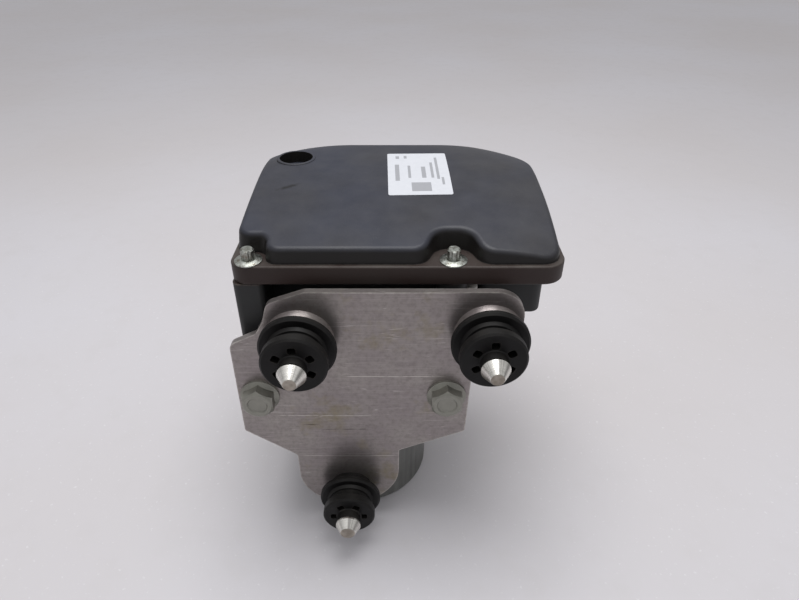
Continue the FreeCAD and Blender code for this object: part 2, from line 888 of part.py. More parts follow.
def crown_level(x, y):
    """Height of the cover's top: a low arch from front to back that falls away at three corners."""
    level = flange_top + crown_height - (y - crown_ridge) ** 2 / (2 * crown_radius)
    middle = (cover_left + cover_right) / 2
    for side, end, start, radius in corner_falls:
        beyond = ((x - middle) * side + y * end) / math.sqrt(2) - start
        level -= max(0.0, beyond) ** 2 / (2 * radius)
    return level


def under_crown(drop):
    """Everything below the crowned top, moved down by drop: a smooth surface drawn down into a solid."""
    across = math.ceil((cover_right - cover_left) / crown_step) + 2
    back = math.ceil((cover_back - cover_front) / crown_step) + 2
    rows = []
    for i in range(across + 1):
        x = cover_left + (i - 1) * crown_step
        row = [(x, cover_front + (j - 1) * crown_step) for j in range(back + 1)]
        rows.append([V(x, y, crown_level(x, y) - drop) for x, y in row])
    top = Part.BSplineSurface()
    top.interpolate(rows)
    return top.toShape().extrude(DOWN * 2 * crown_height)


def drafted(corners, bottom, top, grow, draft):
    """Prism whose walls lean inward by draft for each height of the crown."""
    slope = draft * (top - bottom) / crown_height
    wires = [outline(corners, bottom, grow), outline(corners, top, grow - slope)]
    return Part.makeLoft(wires, True, True)


def ecu_cover():
    """Moulded dome: drafted walls, crowned top, rounded edge and a screw well with a raised lip."""
    top = flange_top + 1.5 * crown_height
    dome = drafted(cover_corners(), flange_top, top, 0, cover_draft).common(under_crown(0))
    rim = [edge for edge in dome.Edges if not on_level(edge, flange_top) and not upright(edge)]
    dome = dome.makeFillet(cover_edge_radius, rim)
    hollow = drafted(cover_corners(), flange_top, top, -cover_wall, cover_draft)
    hollow = hollow.common(under_crown(cover_wall))
    x, y = well_screw
    lip = crown_level(x, y) + well_lip
    tube = rod(well_radius + well_wall, lip - flange_top, V(x, y, flange_top))
    tube = tube.makeFillet(well_lip_round, [edge for edge in tube.Edges if on_level(edge, lip)])
    well = rod(well_radius, 2 * crown_height, V(x, y, lip - well_ledge_depth))
    throat = rod(well_throat_radius, crown_height, V(x, y, flange_top + well_floor))
    hole = rod(screw_shank_radius + running_fit, 2 * crown_height, V(x, y, flange_top))
    return dome.cut(hollow).fuse(tube).cut([well, throat, hole])


def upright(edge):
    """True for an edge that runs mostly up and down."""
    box = edge.BoundBox
    return box.ZLength > 0.8 * math.hypot(box.XLength, box.YLength)


def flange_outline():
    return rectangle(flange_left, flange_right, flange_front, flange_back, flange_corners)


def frame_outline():
    return rectangle(frame_left, frame_right, frame_front, frame_back, frame_corner)


def shroud_outline():
    return rectangle(shroud_left, shroud_right, shroud_front, shroud_back, shroud_corner)


def ring_between(corners, inner, outer, bottom, top):
    return prism(corners, bottom, top, -inner).cut(prism(corners, bottom, top, -outer))


def housing_walls():
    """Flange, lower frame, corner pillar, screw bosses and connector shroud, all solid."""
    pieces = [prism(frame_outline(), block_top, flange_bottom)]
    corner = rectangle(flange_left + pillar_margin, pillar_right, flange_front + pillar_margin,
                       frame_front + frame_wall, (pillar_corner, 2, 2, 2))
    pieces.append(prism(corner, block_top, flange_bottom))
    x, y = recess_screw
    half = boss_web_width / 2
    pieces.append(rod(screw_boss_radius, frame_height, V(x, y + boss_set_back, block_top)))
    pieces.append(block_of(x - half, x + half, y, frame_front + frame_wall, block_top, flange_bottom))
    shroud_bottom = block_top + shroud_lift
    shroud = prism(shroud_outline(), shroud_bottom, flange_bottom)
    low = [edge for edge in shroud.Edges if on_level(edge, shroud_bottom)]
    pieces.append(shroud.makeFillet(1.0, low))
    pieces.append(prism(shroud_outline(), flange_bottom - shroud_ledge_height, flange_bottom, shroud_ledge))
    step = locating_pin_radius + locating_pin_wall
    ledge_top = pin_base() + locating_pin_length / 3
    pieces.append(block_of(
        locating_pin_across - 2 * step, locating_pin_across + step,
        locating_pin_back - step, frame_front + frame_wall, shroud_bottom, ledge_top))
    flange = prism(flange_outline(), flange_bottom, flange_top)
    edges = [edge for edge in flange.Edges if on_level(edge, flange_top) or on_level(edge, flange_bottom)]
    return flange.makeFillet(housing_edge_radius, edges).fuse(pieces)


def post_places():
    """Board posts: in the gaps between the valves, and beside the connector."""
    between_rows = (valve_row_front + valve_row_back) / 2
    beside = (frame_right + shroud_left) / 2
    places = [(side * valve_spacing, between_rows) for side in (-1, 0, 1)]
    return places + [(beside, between_rows - post_spread), (beside, between_rows + post_spread)]


def pin_base():
    return flange_bottom - locating_pin_top_below_flange - locating_pin_length


def ecu_housing():
    """One moulding that carries the board, keeps the coils and shrouds the connector."""
    tray_floor = flange_bottom + flange_floor
    land = cover_wall + seal_width + tray_margin
    room = prism(frame_outline(), block_top, flange_bottom, -frame_wall)
    tray = prism(cover_corners(), tray_floor, flange_top, -land)
    socket = prism(shroud_outline(), block_top, flange_bottom - shroud_wall, -shroud_wall)
    x, y = well_screw
    boss = rod(screw_boss_radius, flange_top - block_top, V(x, y, block_top))
    posts = [rod(post_radius, board_level - tray_floor, V(px, py, tray_floor)) for px, py in post_places()]
    cuts = [rod(screw_shank_radius + running_fit, flange_top - block_top, V(sx, sy, block_top))
            for sx, sy in screw_places]
    for _, place, _ in inlet_and_outlet_places():
        cuts.append(rod(coil_radius - 1, flange_floor, V(place.x, place.y, flange_bottom)))
    pin_radius = locating_pin_radius
    cuts.append(rod(pin_radius, locating_pin_length, V(locating_pin_across, locating_pin_back, pin_base())))
    body = housing_walls().cut([room, tray, socket]).fuse([boss] + posts)
    return body.cut(cuts + pin_slots() + [cover_seal(), housing_seal()])


def housing_seal():
    inner = seal_edge + seal_width
    return ring_between(frame_outline(), seal_edge, inner, block_top, block_top + seal_depth)


def cover_seal():
    edge = cover_wall + cover_seal_edge
    return ring_between(cover_corners(), edge, edge + seal_width, flange_top - seal_depth, flange_top)


def circuit_board():
    """Board with its soldered parts, cut away round the well screw's boss."""
    land = cover_wall + seal_width + tray_margin
    top = board_level + board_thickness
    board = prism(cover_corners(), board_level, top, -land - board_edge)
    parts = [centred_block(V(px, py, top), width, depth, height)
             for px, py, width, depth, height in board_chips]
    parts += [rod(capacitor_radius, capacitor_height, V(px, capacitor_back, top)) for px in capacitor_row]
    parts += [centred_block(V(px, resistor_back, top), *resistor_size) for px in resistor_row]
    x, y = well_screw
    cuts = [rod(screw_boss_radius + 1, board_thickness, V(x, y, board_level))]
    half = terminal_width / 2 + running_fit
    for _, place, _ in inlet_and_outlet_places():
        for side in (-terminal_offset, terminal_offset):
            px = place.x + side
            cuts.append(block_of(px - half, px + half, place.y - half, place.y + half, board_level, top))
    return board.fuse(parts).cut(cuts + pin_slots())


def pin_places():
    """Centre and width of each connector pin, in plan."""
    middle_x = (shroud_left + shroud_right) / 2
    middle_y = (shroud_front + shroud_back) / 2
    places = []
    for row in pin_rows:
        for index in range(pins_in_row):
            y = middle_y + (index - (pins_in_row - 1) / 2) * pin_pitch
            places.append((middle_x + row, y, pin_thickness))
    end = middle_y - (pins_in_row / 2 + 1) * pin_pitch
    places += [(middle_x + row, end, power_pin_width) for row in (pin_rows[0], pin_rows[-1])]
    return places


def pin_slots():
    level = flange_bottom - shroud_wall
    return [pin_blade(x, y, width, level, board_level + board_thickness) for x, y, width in pin_places()]


def pin_blade(x, y, width, bottom, top):
    half = pin_thickness / 2
    return block_of(x - half, x + half, y - width / 2, y + width / 2, bottom, top)


def connector_pins():
    bottom = flange_bottom - shroud_wall - pin_drop
    top = board_level + board_thickness
    return Part.makeCompound([pin_blade(x, y, width, bottom, top) for x, y, width in pin_places()])


def locating_pin():
    base = V(locating_pin_across, locating_pin_back, pin_base())
    pin = rod(locating_pin_radius, locating_pin_length, base)
    top = base.z + locating_pin_length
    return pin.makeFillet(0.7 * locating_pin_radius, [edge for edge in pin.Edges if on_level(edge, top)])


def lobed_head():
    """Six-lobe head with a chamfered crown."""
    head = turned([
        (0, 0), (screw_head_radius, 0), (screw_head_radius, screw_head_height - screw_head_bevel),
        (screw_head_radius - screw_head_bevel, screw_head_height), (0, screw_head_height)])
    flutes = [rod(screw_lobe_radius, screw_head_height, place)
              for place in round_places(6, screw_head_radius + screw_lobe_offset)]
    return head.cut(flutes)


def ecu_screws():
    screws = []
    for (x, y), seat in zip(screw_places, screw_seats):
        flange = turned([
            (0, 0), (screw_flange_radius, 0), (screw_flange_radius, screw_flange_rim),
            (screw_head_radius + screw_head_bevel, screw_flange_height), (0, screw_flange_height)])
        length = seat - block_top + screw_thread_depth - rest_gap
        shank = rod(screw_shank_radius, length, ORIGIN, DOWN)
        head = lobed_head()
        head.translate(V(0, 0, screw_flange_height))
        screw = flange.fuse([shank, head])
        screw.translate(V(x, y, seat))
        screws.append(screw)
    return Part.makeCompound(screws)


def motor_screws():
    screws = []
    for place in ear_places():
        seat = place + V(0, 0, can_length - ear_thickness)
        length = ear_thickness + screw_thread_depth - rest_gap
        edge = motor_screw_head_radius - screw_head_bevel
        head = turned([
            (0, 0), (motor_screw_head_radius, 0),
            (motor_screw_head_radius, motor_screw_head_height - screw_head_bevel),
            (edge, motor_screw_head_height), (0, motor_screw_head_height)], seat, DOWN)
        socket = hexagon(motor_screw_socket, motor_screw_socket_depth)
        socket.translate(seat - V(0, 0, motor_screw_head_height))
        screws.append(head.cut(socket).fuse(rod(screw_shank_radius, length, seat)))
    return Part.makeCompound(screws)


def bracket_outline():
    """Front view of the bracket as (x, height, radius) corners, anticlockwise from the tongue."""
    ear_x, ear_z = right_ear
    ear_edge = ear_x + ear_reach
    ear_foot = ear_z - ear_reach
    return [
        (tongue_left, tongue_foot, tongue_left_radius), (tongue_right, tongue_foot, tongue_right_radius),
        (*tongue_shoulder, 0.8), (*right_flank, 2.0), (bracket_right, lower_right_corner, 2.0),
        (bracket_right + 1.2, ear_foot - 3.0, 5.0),
        (ear_edge, ear_foot - 1.0, ear_radius_low), (ear_edge, bracket_top, ear_radius_top),
        (*shoulder_start, 4.0), (*shoulder_slope, 5.0), (*shoulder_drop, 4.0), (*shoulder_foot, 2.0),
        (*shoulder_end, 4.0), (bracket_left, lower_left_corner, 1.5), (*left_flank, 2.5)]


def bracket():
    """Pressed sheet with drawn bosses behind the upper mounts."""
    plate = prism(bracket_outline(), -plate_back, -plate_front)
    plate.rotate(ORIGIN, ACROSS, 90)
    plate.translate(V(0, 0, block_bottom))
    bosses = []
    hollows = []
    for x, z in (left_mount, right_mount):
        base = V(x, plate_front, z)
        bosses.append(turned([
            (0, 0), (boss_base_radius, 0), (boss_top_radius + boss_edge, boss_height * boss_foot_share),
            (boss_top_radius, boss_height - boss_edge), (boss_top_radius - boss_edge, boss_height),
            (0, boss_height)], base, FRONT))
        inner_base = boss_base_radius - sheet
        inner_top = boss_top_radius - sheet
        hollows.append(turned([(0, 0), (inner_base, 0), (inner_top, boss_height), (0, boss_height)],
                              V(x, plate_back, z), FRONT))
    holes = [rod(stud_radius, sheet + boss_height, V(x, plate_back, z), FRONT)
             for x, z in (left_mount, right_mount, bottom_mount)]
    holes += [rod(bolt_radius + bolt_clearance, sheet, V(x, plate_back, bolt_height), FRONT)
              for x in (bolt_left, bolt_right)]
    return plate.fuse(bosses).cut(hollows + holes)


def bracket_bolts():
    """Hex flange bolts with a dished, chamfered head."""
    bolts = []
    for x in (bolt_left, bolt_right):
        flange = turned([
            (0, 0), (bolt_flange_radius, 0), (bolt_flange_radius, bolt_flange_rim),
            (bolt_across_flats / 2, bolt_flange_height), (0, bolt_flange_height)])
        corner = bolt_across_flats / math.sqrt(3)
        flat = bolt_across_flats / 2
        crown = turned([
            (0, 0), (corner, 0), (corner, bolt_head_height - bolt_crown_bevel),
            (flat - bolt_dish_depth, bolt_head_height), (flat - bolt_dish_edge, bolt_head_height),
            (flat - bolt_dish_edge - bolt_dish_depth, bolt_head_height - bolt_dish_depth),
            (0, bolt_head_height - bolt_dish_depth)])
        head = hexagon(bolt_across_flats, bolt_head_height).common(crown)
        head.rotate(ORIGIN, UP, 30)
        shank = rod(bolt_radius, sheet + bolt_depth - rest_gap, ORIGIN, DOWN)
        bolt = flange.fuse([head, shank])
        bolt.Placement = FreeCAD.Placement(V(x, plate_front, bolt_height), FreeCAD.Rotation(UP, FRONT))
        bolts.append(bolt)
    return Part.makeCompound(bolts)


def grommet(place, scale, first_hole, has_collar):
    """Rubber mount: a wide rear ring, a waist, a front disc with blind holes and a hub."""
    x, z = place
    ring = ring_outer_radius * scale
    neck = neck_radius * scale
    step = step_radius * scale
    disc = disc_radius * scale
    back = 0 if has_collar else boss_height
    ring_end = boss_height + ring_thickness
    waist = ring_end + ring_step
    hub = hub_radius
    profile = [(stud_radius, back)]
    if has_collar:
        profile += [(rubber_collar_radius, 0), (rubber_collar_radius, boss_height)]
    profile += [
        (ring - mount_edge, boss_height), (ring, boss_height + mount_edge), (ring, ring_end - mount_edge),
        (ring - mount_edge, ring_end), (step, ring_end), (step - mount_edge, waist - 0.2), (neck, waist),
        (neck, disc_start), (disc - mount_edge, disc_start), (disc, disc_start + mount_edge),
        (disc, disc_end - mount_edge), (disc - mount_edge, disc_end), (hub + hub_foot, disc_end),
        (hub, disc_end + hub_foot), (hub, hub_end - hub_edge), (hub - hub_edge, hub_end),
        (stud_radius, hub_end)]
    body = turned(profile)
    holes = []
    half = blind_hole_side / 2
    circle = blind_hole_circle * scale
    for index in range(blind_hole_count):
        hole = block_of(circle - half, circle + half, -half, half, disc_end - blind_hole_depth, disc_end)
        hole = hole.makeFillet(blind_hole_corner, [edge for edge in hole.Edges if upright(edge)])
        hole.rotate(ORIGIN, UP, first_hole + index * 360 / blind_hole_count)
        holes.append(hole)
    solid = body.cut(holes)
    solid.Placement = FreeCAD.Placement(V(x, plate_front, z), FreeCAD.Rotation(UP, FRONT))
    return solid


def mounting_pin(place, rivet_level, tip_cut=0.0):
    """Turned stud: a rivet head behind the sheet, a plain shank and a cone tip, cut off blunt."""
    tip_start = hub_end
    x, z = place
    cone = tip_start + tip_land
    low = rivet_level - rivet_height
    end = cone + tip_length - tip_cut
    blunt = tip_end_radius + (tip_base_radius - tip_end_radius) * tip_cut / tip_length
    profile = [
        (0, low), (rivet_radius - rivet_bevel, low), (rivet_radius, low + rivet_bevel),
        (rivet_radius, rivet_level), (stud_radius, rivet_level),
        (stud_radius, tip_start), (tip_base_radius, tip_start), (tip_base_radius, cone),
        (blunt, end - tip_bevel), (blunt - tip_bevel, end), (0, end)]
    return turned(profile, V(x, plate_front, z), FRONT)


def build():
    nodes = {
        "hydraulic_block": hydraulic_block(),
        "bracket": bracket(),
        "bracket_bolts": bracket_bolts(),
        "grommet_left": grommet(left_mount, 1.0, upper_hole_turn, False),
        "grommet_right": grommet(right_mount, 1.0, upper_hole_turn, False),
        "grommet_bottom": grommet(bottom_mount, small_mount_scale, lower_hole_turn, True),
        "mounting_pin_left": mounting_pin(left_mount, boss_height - sheet),
        "mounting_pin_right": mounting_pin(right_mount, boss_height - sheet),
        "mounting_pin_bottom": mounting_pin(bottom_mount, -sheet, lower_tip_cut),
        "ecu_housing": ecu_housing(),
        "ecu_cover": ecu_cover(),
        "ecu_screws": ecu_screws(),
        "cover_seal": cover_seal(),
        "housing_seal": housing_seal(),
        "circuit_board": circuit_board(),
        "connector_pins": connector_pins(),
        "locating_pin": locating_pin(),
        "valve_coils": valve_coils(),
        "motor_can": motor_can(),
        "magnet_left": magnet(-1),
        "magnet_right": magnet(1),
        "brush_plate": brush_plate(),
        "motor_screws": motor_screws(),
        "motor_shaft": motor_shaft(),
        "armature_core": armature_core(),
        "windings": windings(),
        "commutator": commutator(),
        "lower_bearing": bearing(lower_bearing_radius, lower_bearing_width, V(0, 0, bearing_standoff)),
        "upper_bearing": bearing(upper_bearing_radius, upper_bearing_width, V(0, 0, block_bottom)),
        "eccentric_ring": eccentric_ring(),
        "pump_plugs": pump_plugs(),
        "accumulator_caps": reservoir_caps(),
    }
    for side, name in ((-1, "left"), (1, "right")):
        nodes[f"brush_{name}"] = brush(side)
        nodes[f"brush_spring_{name}"] = brush_spring(side)
        nodes[f"pump_piston_{name}"] = pump_piston(side)
        nodes[f"pump_spring_{name}"] = pump_spring(side)
    for place, name in zip(reservoir_places(), ("left", "right")):
        nodes[f"accumulator_piston_{name}"] = reservoir_piston(place)
        nodes[f"accumulator_spring_{name}"] = reservoir_spring(place)
    for name, place, dome_height in inlet_and_outlet_places():
        lift = valve_lift if name.startswith("inlet") else 0.0
        nodes[name.format("valve")] = valve_body(place, dome_height)
        nodes[name.format("plunger")] = valve_plunger(place, dome_height, lift)
    return nodes


os.makedirs("parts", exist_ok=True)
for node_name, node_shape in build().items():
    node_shape.exportStep(f"parts/{node_name}.step")
    print(node_name, len(node_shape.Solids), node_shape.isValid(), round(node_shape.Volume))
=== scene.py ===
# %% [markdown]
# # Dressing an anti-lock brake unit for its photograph
#
# The unit stands on its pump motor. Above the motor is a drilled valve block, hidden
# behind a sheet bracket, and on top sits a black electronics housing with a domed cover.
# Three rubber mounts with bright cone-tipped pins look at the camera.
#
# Every rigid piece comes in from the fixed frame at its real size. This lesson gives each
# of them the finish that the real one has, adds the paper label, the port threads and the
# springs, and sets up the floor, the light and the camera.

# %% The fixed frame
import json
import math

import bmesh
import bpy
from mathutils import Matrix, Vector
from mathutils.bvhtree import BVHTree


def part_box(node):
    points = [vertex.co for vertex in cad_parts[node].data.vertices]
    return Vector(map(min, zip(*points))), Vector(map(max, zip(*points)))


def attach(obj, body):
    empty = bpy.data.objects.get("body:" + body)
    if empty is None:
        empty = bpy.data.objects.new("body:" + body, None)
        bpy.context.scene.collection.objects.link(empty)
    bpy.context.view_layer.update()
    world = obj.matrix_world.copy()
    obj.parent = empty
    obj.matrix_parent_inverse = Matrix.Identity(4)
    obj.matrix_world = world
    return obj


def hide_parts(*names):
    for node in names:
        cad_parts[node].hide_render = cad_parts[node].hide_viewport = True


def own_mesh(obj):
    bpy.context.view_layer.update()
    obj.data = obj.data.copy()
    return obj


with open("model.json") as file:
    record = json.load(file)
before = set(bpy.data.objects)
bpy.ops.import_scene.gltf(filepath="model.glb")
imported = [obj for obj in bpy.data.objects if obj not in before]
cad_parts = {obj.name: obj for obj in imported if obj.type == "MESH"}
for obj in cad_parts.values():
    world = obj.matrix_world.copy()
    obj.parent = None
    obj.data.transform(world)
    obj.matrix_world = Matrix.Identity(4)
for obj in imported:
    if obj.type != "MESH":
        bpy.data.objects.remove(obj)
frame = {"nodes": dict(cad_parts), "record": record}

MM = 0.001
nodes = frame["nodes"]
slot_of = {row["node"]: row["material_slot"] for row in frame["record"]["subparts"]}
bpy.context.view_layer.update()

# %% [markdown]
# ## Camera
#
# The photograph looks straight at the bracket and about 34 degrees down. The focal length
# and the place were worked out once from the hex bolts, the flange edges and the table
# line, so they are written here as real sizes. There is no shift and no depth of field,
# because other views move this same camera.

# %% Camera
CAMERA_PLACE = Vector((21.5, -236.0, 266.0)) * MM
CAMERA_DOWN = math.radians(34.3)
PHOTO_WIDTH = 799
FOCAL_PIXELS = 600
lens = bpy.data.cameras.new("camera")
lens.sensor_width = 36.0
lens.lens = lens.sensor_width * FOCAL_PIXELS / PHOTO_WIDTH
lens.clip_start = 0.01
lens.clip_end = 20.0
camera = bpy.data.objects.new("camera", lens)
camera.location = CAMERA_PLACE
camera.rotation_euler = (math.pi / 2 - CAMERA_DOWN, 0, 0)
bpy.context.scene.collection.objects.link(camera)
bpy.context.scene.camera = camera
bpy.context.scene.view_settings.view_transform = "Standard"
print("camera: lens", round(lens.lens, 2), "mm")

# %% [markdown]
# ## Short words for shader nodes
#
# A material here is a small tree of nodes. Typing each node out takes many lines, so three
# helpers do the repeated work: one adds a node with its inputs, one does sums, one maps a
# range. Anything that comes in as a socket is linked, anything else is set as a value.


# %% Node helpers
def feed(tree, socket, value):
    """Link a socket to the input, or set the input to a plain value."""
    if isinstance(value, bpy.types.NodeSocket):
        tree.links.new(value, socket)
    else:
        socket.default_value = value


def add(tree, kind, inputs=None, **settings):
    """A node of this kind, with its settings made and its inputs fed."""
    node = tree.nodes.new(kind)
    for name, value in settings.items():
        setattr(node, name, value)
    for name, value in (inputs or {}).items():
        feed(tree, node.inputs[name], value)
    return node


def calc(tree, operation, first, second=0.0, clamp=False):
    """One sum on two numbers."""
    node = add(tree, "ShaderNodeMath", {0: first, 1: second}, operation=operation, use_clamp=clamp)
    return node.outputs[0]


def band(tree, value, low, high, to_low=0.0, to_high=1.0):
    """Map the range from low to high onto another range, held at its ends."""
    node = add(tree, "ShaderNodeMapRange", {
        "Value": value, "From Min": low, "From Max": high, "To Min": to_low, "To Max": to_high})
    return node.outputs["Result"]


def blend_colours(tree, factor, first, second, blend_type="MIX"):
    """Colour that goes from the first to the second as the factor rises."""
    node = add(tree, "ShaderNodeMix", {0: factor, 6: first, 7: second},
               data_type="RGBA", blend_type=blend_type)
    return node.outputs[2]


def noise(tree, place, scale, detail=3.0, roughness=0.5):
    """Soft noise from 0 to 1 at this many lumps for each metre."""
    node = add(tree, "ShaderNodeTexNoise", {
        "Vector": place, "Scale": scale, "Detail": detail, "Roughness": roughness})
    return node.outputs["Fac"]


def object_place(tree):
    """The point's own place on the object, in metres."""
    return add(tree, "ShaderNodeTexCoord").outputs["Object"]


def stretched(tree, place, factors):
    """The place with each axis multiplied, which squeezes or draws out a pattern."""
    return add(tree, "ShaderNodeVectorMath", {0: place, 1: factors}, operation="MULTIPLY").outputs[0]


# %% [markdown]
# ## Effects that several finishes share
#
# Worn edges, moulded grain, dust, hairline marks and turning marks turn up on more than one
# piece. Each is a node group, built once with named inputs, and every material that uses it
# places it with its own values. A group gives out only masks and heights, and the shader
# itself stays in the material, where the export can read it.


# %% Starting a shared effect
def new_group(name, inputs, outputs):
    """An empty node group with named float or vector inputs and float outputs."""
    tree = bpy.data.node_groups.new(name, "ShaderNodeTree")
    for label, value in inputs.items():
        kind = "NodeSocketVector" if isinstance(value, tuple) else "NodeSocketFloat"
        socket = tree.interface.new_socket(label, in_out="INPUT", socket_type=kind)
        socket.default_value = value
    for label in outputs:
        tree.interface.new_socket(label, in_out="OUTPUT", socket_type="NodeSocketFloat")
    return tree, tree.nodes.new("NodeGroupInput").outputs, tree.nodes.new("NodeGroupOutput").inputs


def place_effect(tree, group, **inputs):
    """Put a shared effect into a material, with its own values."""
    node = tree.nodes.new("ShaderNodeGroup")
    node.node_tree = group
    for name, value in inputs.items():
        feed(tree, node.inputs[name], value)
    return node.outputs


# %% Worn edges
# Looking inward from a point near a sharp edge, the other face is close by. The ambient
# occlusion node turned inside measures just that, so it finds edges on any mesh.
worn_edges, given, gives = new_group(
    "worn_edges", {"Reach": 0.0006, "Breakup": 900.0, "Amount": 1.0}, ["Mask"])
inward = add(worn_edges, "ShaderNodeAmbientOcclusion", {"Distance": given["Reach"]},
             samples=8, inside=True, only_local=True)
nearness = band(worn_edges, inward.outputs["AO"], 0.95, 0.45)
breakup = noise(worn_edges, object_place(worn_edges), scale=given["Breakup"], detail=4.0)
patches = band(worn_edges, breakup, 0.3, 0.62)
worn = calc(worn_edges, "MULTIPLY", nearness, patches)
feed(worn_edges, gives["Mask"], calc(worn_edges, "MULTIPLY", worn, given["Amount"], clamp=True))
print("effect: worn edges")

# %% Moulded grain
# A spark-eroded mould leaves a fine pebbled skin on plastic and rubber.
moulded_grain, given, gives = new_group("moulded_grain", {"Scale": 2200.0, "Softness": 0.5}, ["Height"])
place = object_place(moulded_grain)
pebbles = add(moulded_grain, "ShaderNodeTexVoronoi", {"Vector": place, "Scale": given["Scale"]},
              feature="SMOOTH_F1")
lumps = noise(moulded_grain, place, scale=calc(moulded_grain, "MULTIPLY", given["Scale"], 0.45), detail=2.0)
mixed = add(moulded_grain, "ShaderNodeMix", {0: given["Softness"], 2: pebbles.outputs["Distance"], 3: lumps})
feed(moulded_grain, gives["Height"], mixed.outputs[0])
print("effect: moulded grain")

# %% Settled dust
# Dust lies on what faces up: an even film, with soft patches and specks that lie thicker.
settled_dust, given, gives = new_group("settled_dust", {"Scale": 60.0, "Film": 0.0, "Amount": 0.5}, ["Mask"])
normal = add(settled_dust, "ShaderNodeNewGeometry").outputs["Normal"]
facing = add(settled_dust, "ShaderNodeSeparateXYZ", {0: normal})
up = band(settled_dust, facing.outputs["Z"], 0.2, 0.95)
place = object_place(settled_dust)
drifts = noise(settled_dust, place, scale=given["Scale"], detail=6.0, roughness=0.6)
clouds = band(settled_dust, drifts, 0.35, 0.75)
specks = band(settled_dust, noise(settled_dust, place, scale=2600.0, detail=1.0), 0.62, 0.72)
patchy = calc(settled_dust, "MAXIMUM", given["Film"], calc(settled_dust, "MAXIMUM", clouds, specks))
lying = calc(settled_dust, "MULTIPLY", up, patchy)
feed(settled_dust, gives["Mask"], calc(settled_dust, "MULTIPLY", lying, given["Amount"], clamp=True))
print("effect: settled dust")

# %% Hairline marks
# Drawing noise out along one axis and keeping only where it crosses its middle value
# leaves thin broken lines, like the marks that handling and rolling leave.
hairlines, given, gives = new_group(
    "hairline_marks", {"Stretch": (1.0, 1.0, 1.0), "Scale": 400.0, "Width": 0.01, "Cover": 0.5}, ["Mask"])
place = stretched(hairlines, object_place(hairlines), given["Stretch"])
wander = calc(hairlines, "SUBTRACT", noise(hairlines, place, scale=given["Scale"], detail=2.0), 0.5)
line = band(hairlines, calc(hairlines, "ABSOLUTE", wander), given["Width"], 0.0)
gaps = noise(hairlines, object_place(hairlines), scale=70.0, detail=3.0)
kept = band(hairlines, gaps, calc(hairlines, "SUBTRACT", 1.0, given["Cover"]), 1.0, to_high=2.0)
feed(hairlines, gives["Mask"], calc(hairlines, "MULTIPLY", line, kept, clamp=True))
print("effect: hairline marks")

# %% Lines across a sheet
# A few straight light and dark lines at set heights go across the sheet. One line
# is a thin band round its height, held between its two ends and broken up by noise.
LINE_WAVER = 0.6 * MM
LINE_FADE = 4.0 * MM
sheet_line, given, gives = new_group(
    "sheet_line", {"Height": 0.0, "Left": -0.01, "Right": 0.01, "Width": 0.0002}, ["Mask"])
place = object_place(sheet_line)
axes = add(sheet_line, "ShaderNodeSeparateXYZ", {0: place}).outputs
waver = calc(sheet_line, "MULTIPLY", noise(sheet_line, place, scale=60.0, detail=2.0), LINE_WAVER)
above = calc(sheet_line, "SUBTRACT", calc(sheet_line, "ADD", axes["Z"], waver), given["Height"])
thin = band(sheet_line, calc(sheet_line, "ABSOLUTE", above), given["Width"], 0.0)
from_left = calc(sheet_line, "SUBTRACT", axes["X"], given["Left"])
to_right = calc(sheet_line, "SUBTRACT", given["Right"], axes["X"])
between = band(sheet_line, calc(sheet_line, "MINIMUM", from_left, to_right), 0.0, LINE_FADE)
broken = band(sheet_line, noise(sheet_line, place, scale=300.0, detail=3.0), 0.35, 0.55, to_low=0.25)
lit = calc(sheet_line, "MULTIPLY", thin, calc(sheet_line, "MULTIPLY", between, broken))
feed(sheet_line, gives["Mask"], lit)
print("effect: lines across a sheet")

# %% Turning marks
# A lathe leaves fine rings round the axis. Here the axis runs along Y through a centre, and
# the rings are noise on the distance travelled along the surface's own profile.
turning_marks, given, gives = new_group(
    "turning_marks", {"Centre": (0.0, 0.0, 0.0), "Scale": 3000.0}, ["Height"])
offset = add(turning_marks, "ShaderNodeVectorMath", {0: object_place(turning_marks), 1: given["Centre"]},
             operation="SUBTRACT").outputs[0]
flat = stretched(turning_marks, offset, (1.0, 0.0, 1.0))
radius = add(turning_marks, "ShaderNodeVectorMath", {0: flat}, operation="LENGTH").outputs["Value"]
depth = add(turning_marks, "ShaderNodeSeparateXYZ", {0: offset}).outputs["Y"]
travel = calc(turning_marks, "SUBTRACT", radius, calc(turning_marks, "MULTIPLY", depth, 0.8))
rings = add(turning_marks, "ShaderNodeTexNoise", {"W": travel, "Scale": given["Scale"], "Detail": 3.0},
            noise_dimensions="1D")
feed(turning_marks, gives["Height"], rings.outputs["Fac"])
print("effect: turning marks")

# %% Painted reflection sectors
# Turned metal shows light and dark sectors in its reflection; here darker sectors are painted into the
# colour as painted reflection. Noise on the angle round the same axis gives sectors of another tone, which
# narrow towards the tip.
painted_reflection_sectors, given, gives = new_group("painted_reflection_sectors", {"Centre": (0.0, 0.0, 0.0), "Scale": 2.0}, ["Mask"])
arm = add(painted_reflection_sectors, "ShaderNodeVectorMath", {0: object_place(painted_reflection_sectors), 1: given["Centre"]},
          operation="SUBTRACT").outputs[0]
arm_axes = add(painted_reflection_sectors, "ShaderNodeSeparateXYZ", {0: arm}).outputs
angle = calc(painted_reflection_sectors, "ARCTAN2", arm_axes["X"], arm_axes["Z"])
sector_noise = add(painted_reflection_sectors, "ShaderNodeTexNoise", {"W": angle, "Scale": given["Scale"], "Detail": 2.5},
            noise_dimensions="1D")
painted_dark_sectors = band(painted_reflection_sectors, sector_noise.outputs["Fac"], 0.5, 0.62, to_high=0.6)
feed(painted_reflection_sectors, gives["Mask"], painted_dark_sectors)
print("effect: chatter marks")

# %% [markdown]
# ## Finishes
#
# Each finish is a function of its own. It starts from one shader with plain values set on
# its sockets, then lets the shared effects change colour, roughness and height over the
# surface. The shader works in linear values, so a colour that is written from 0 to 255, as the
# eye sees it, goes through rgb() first.


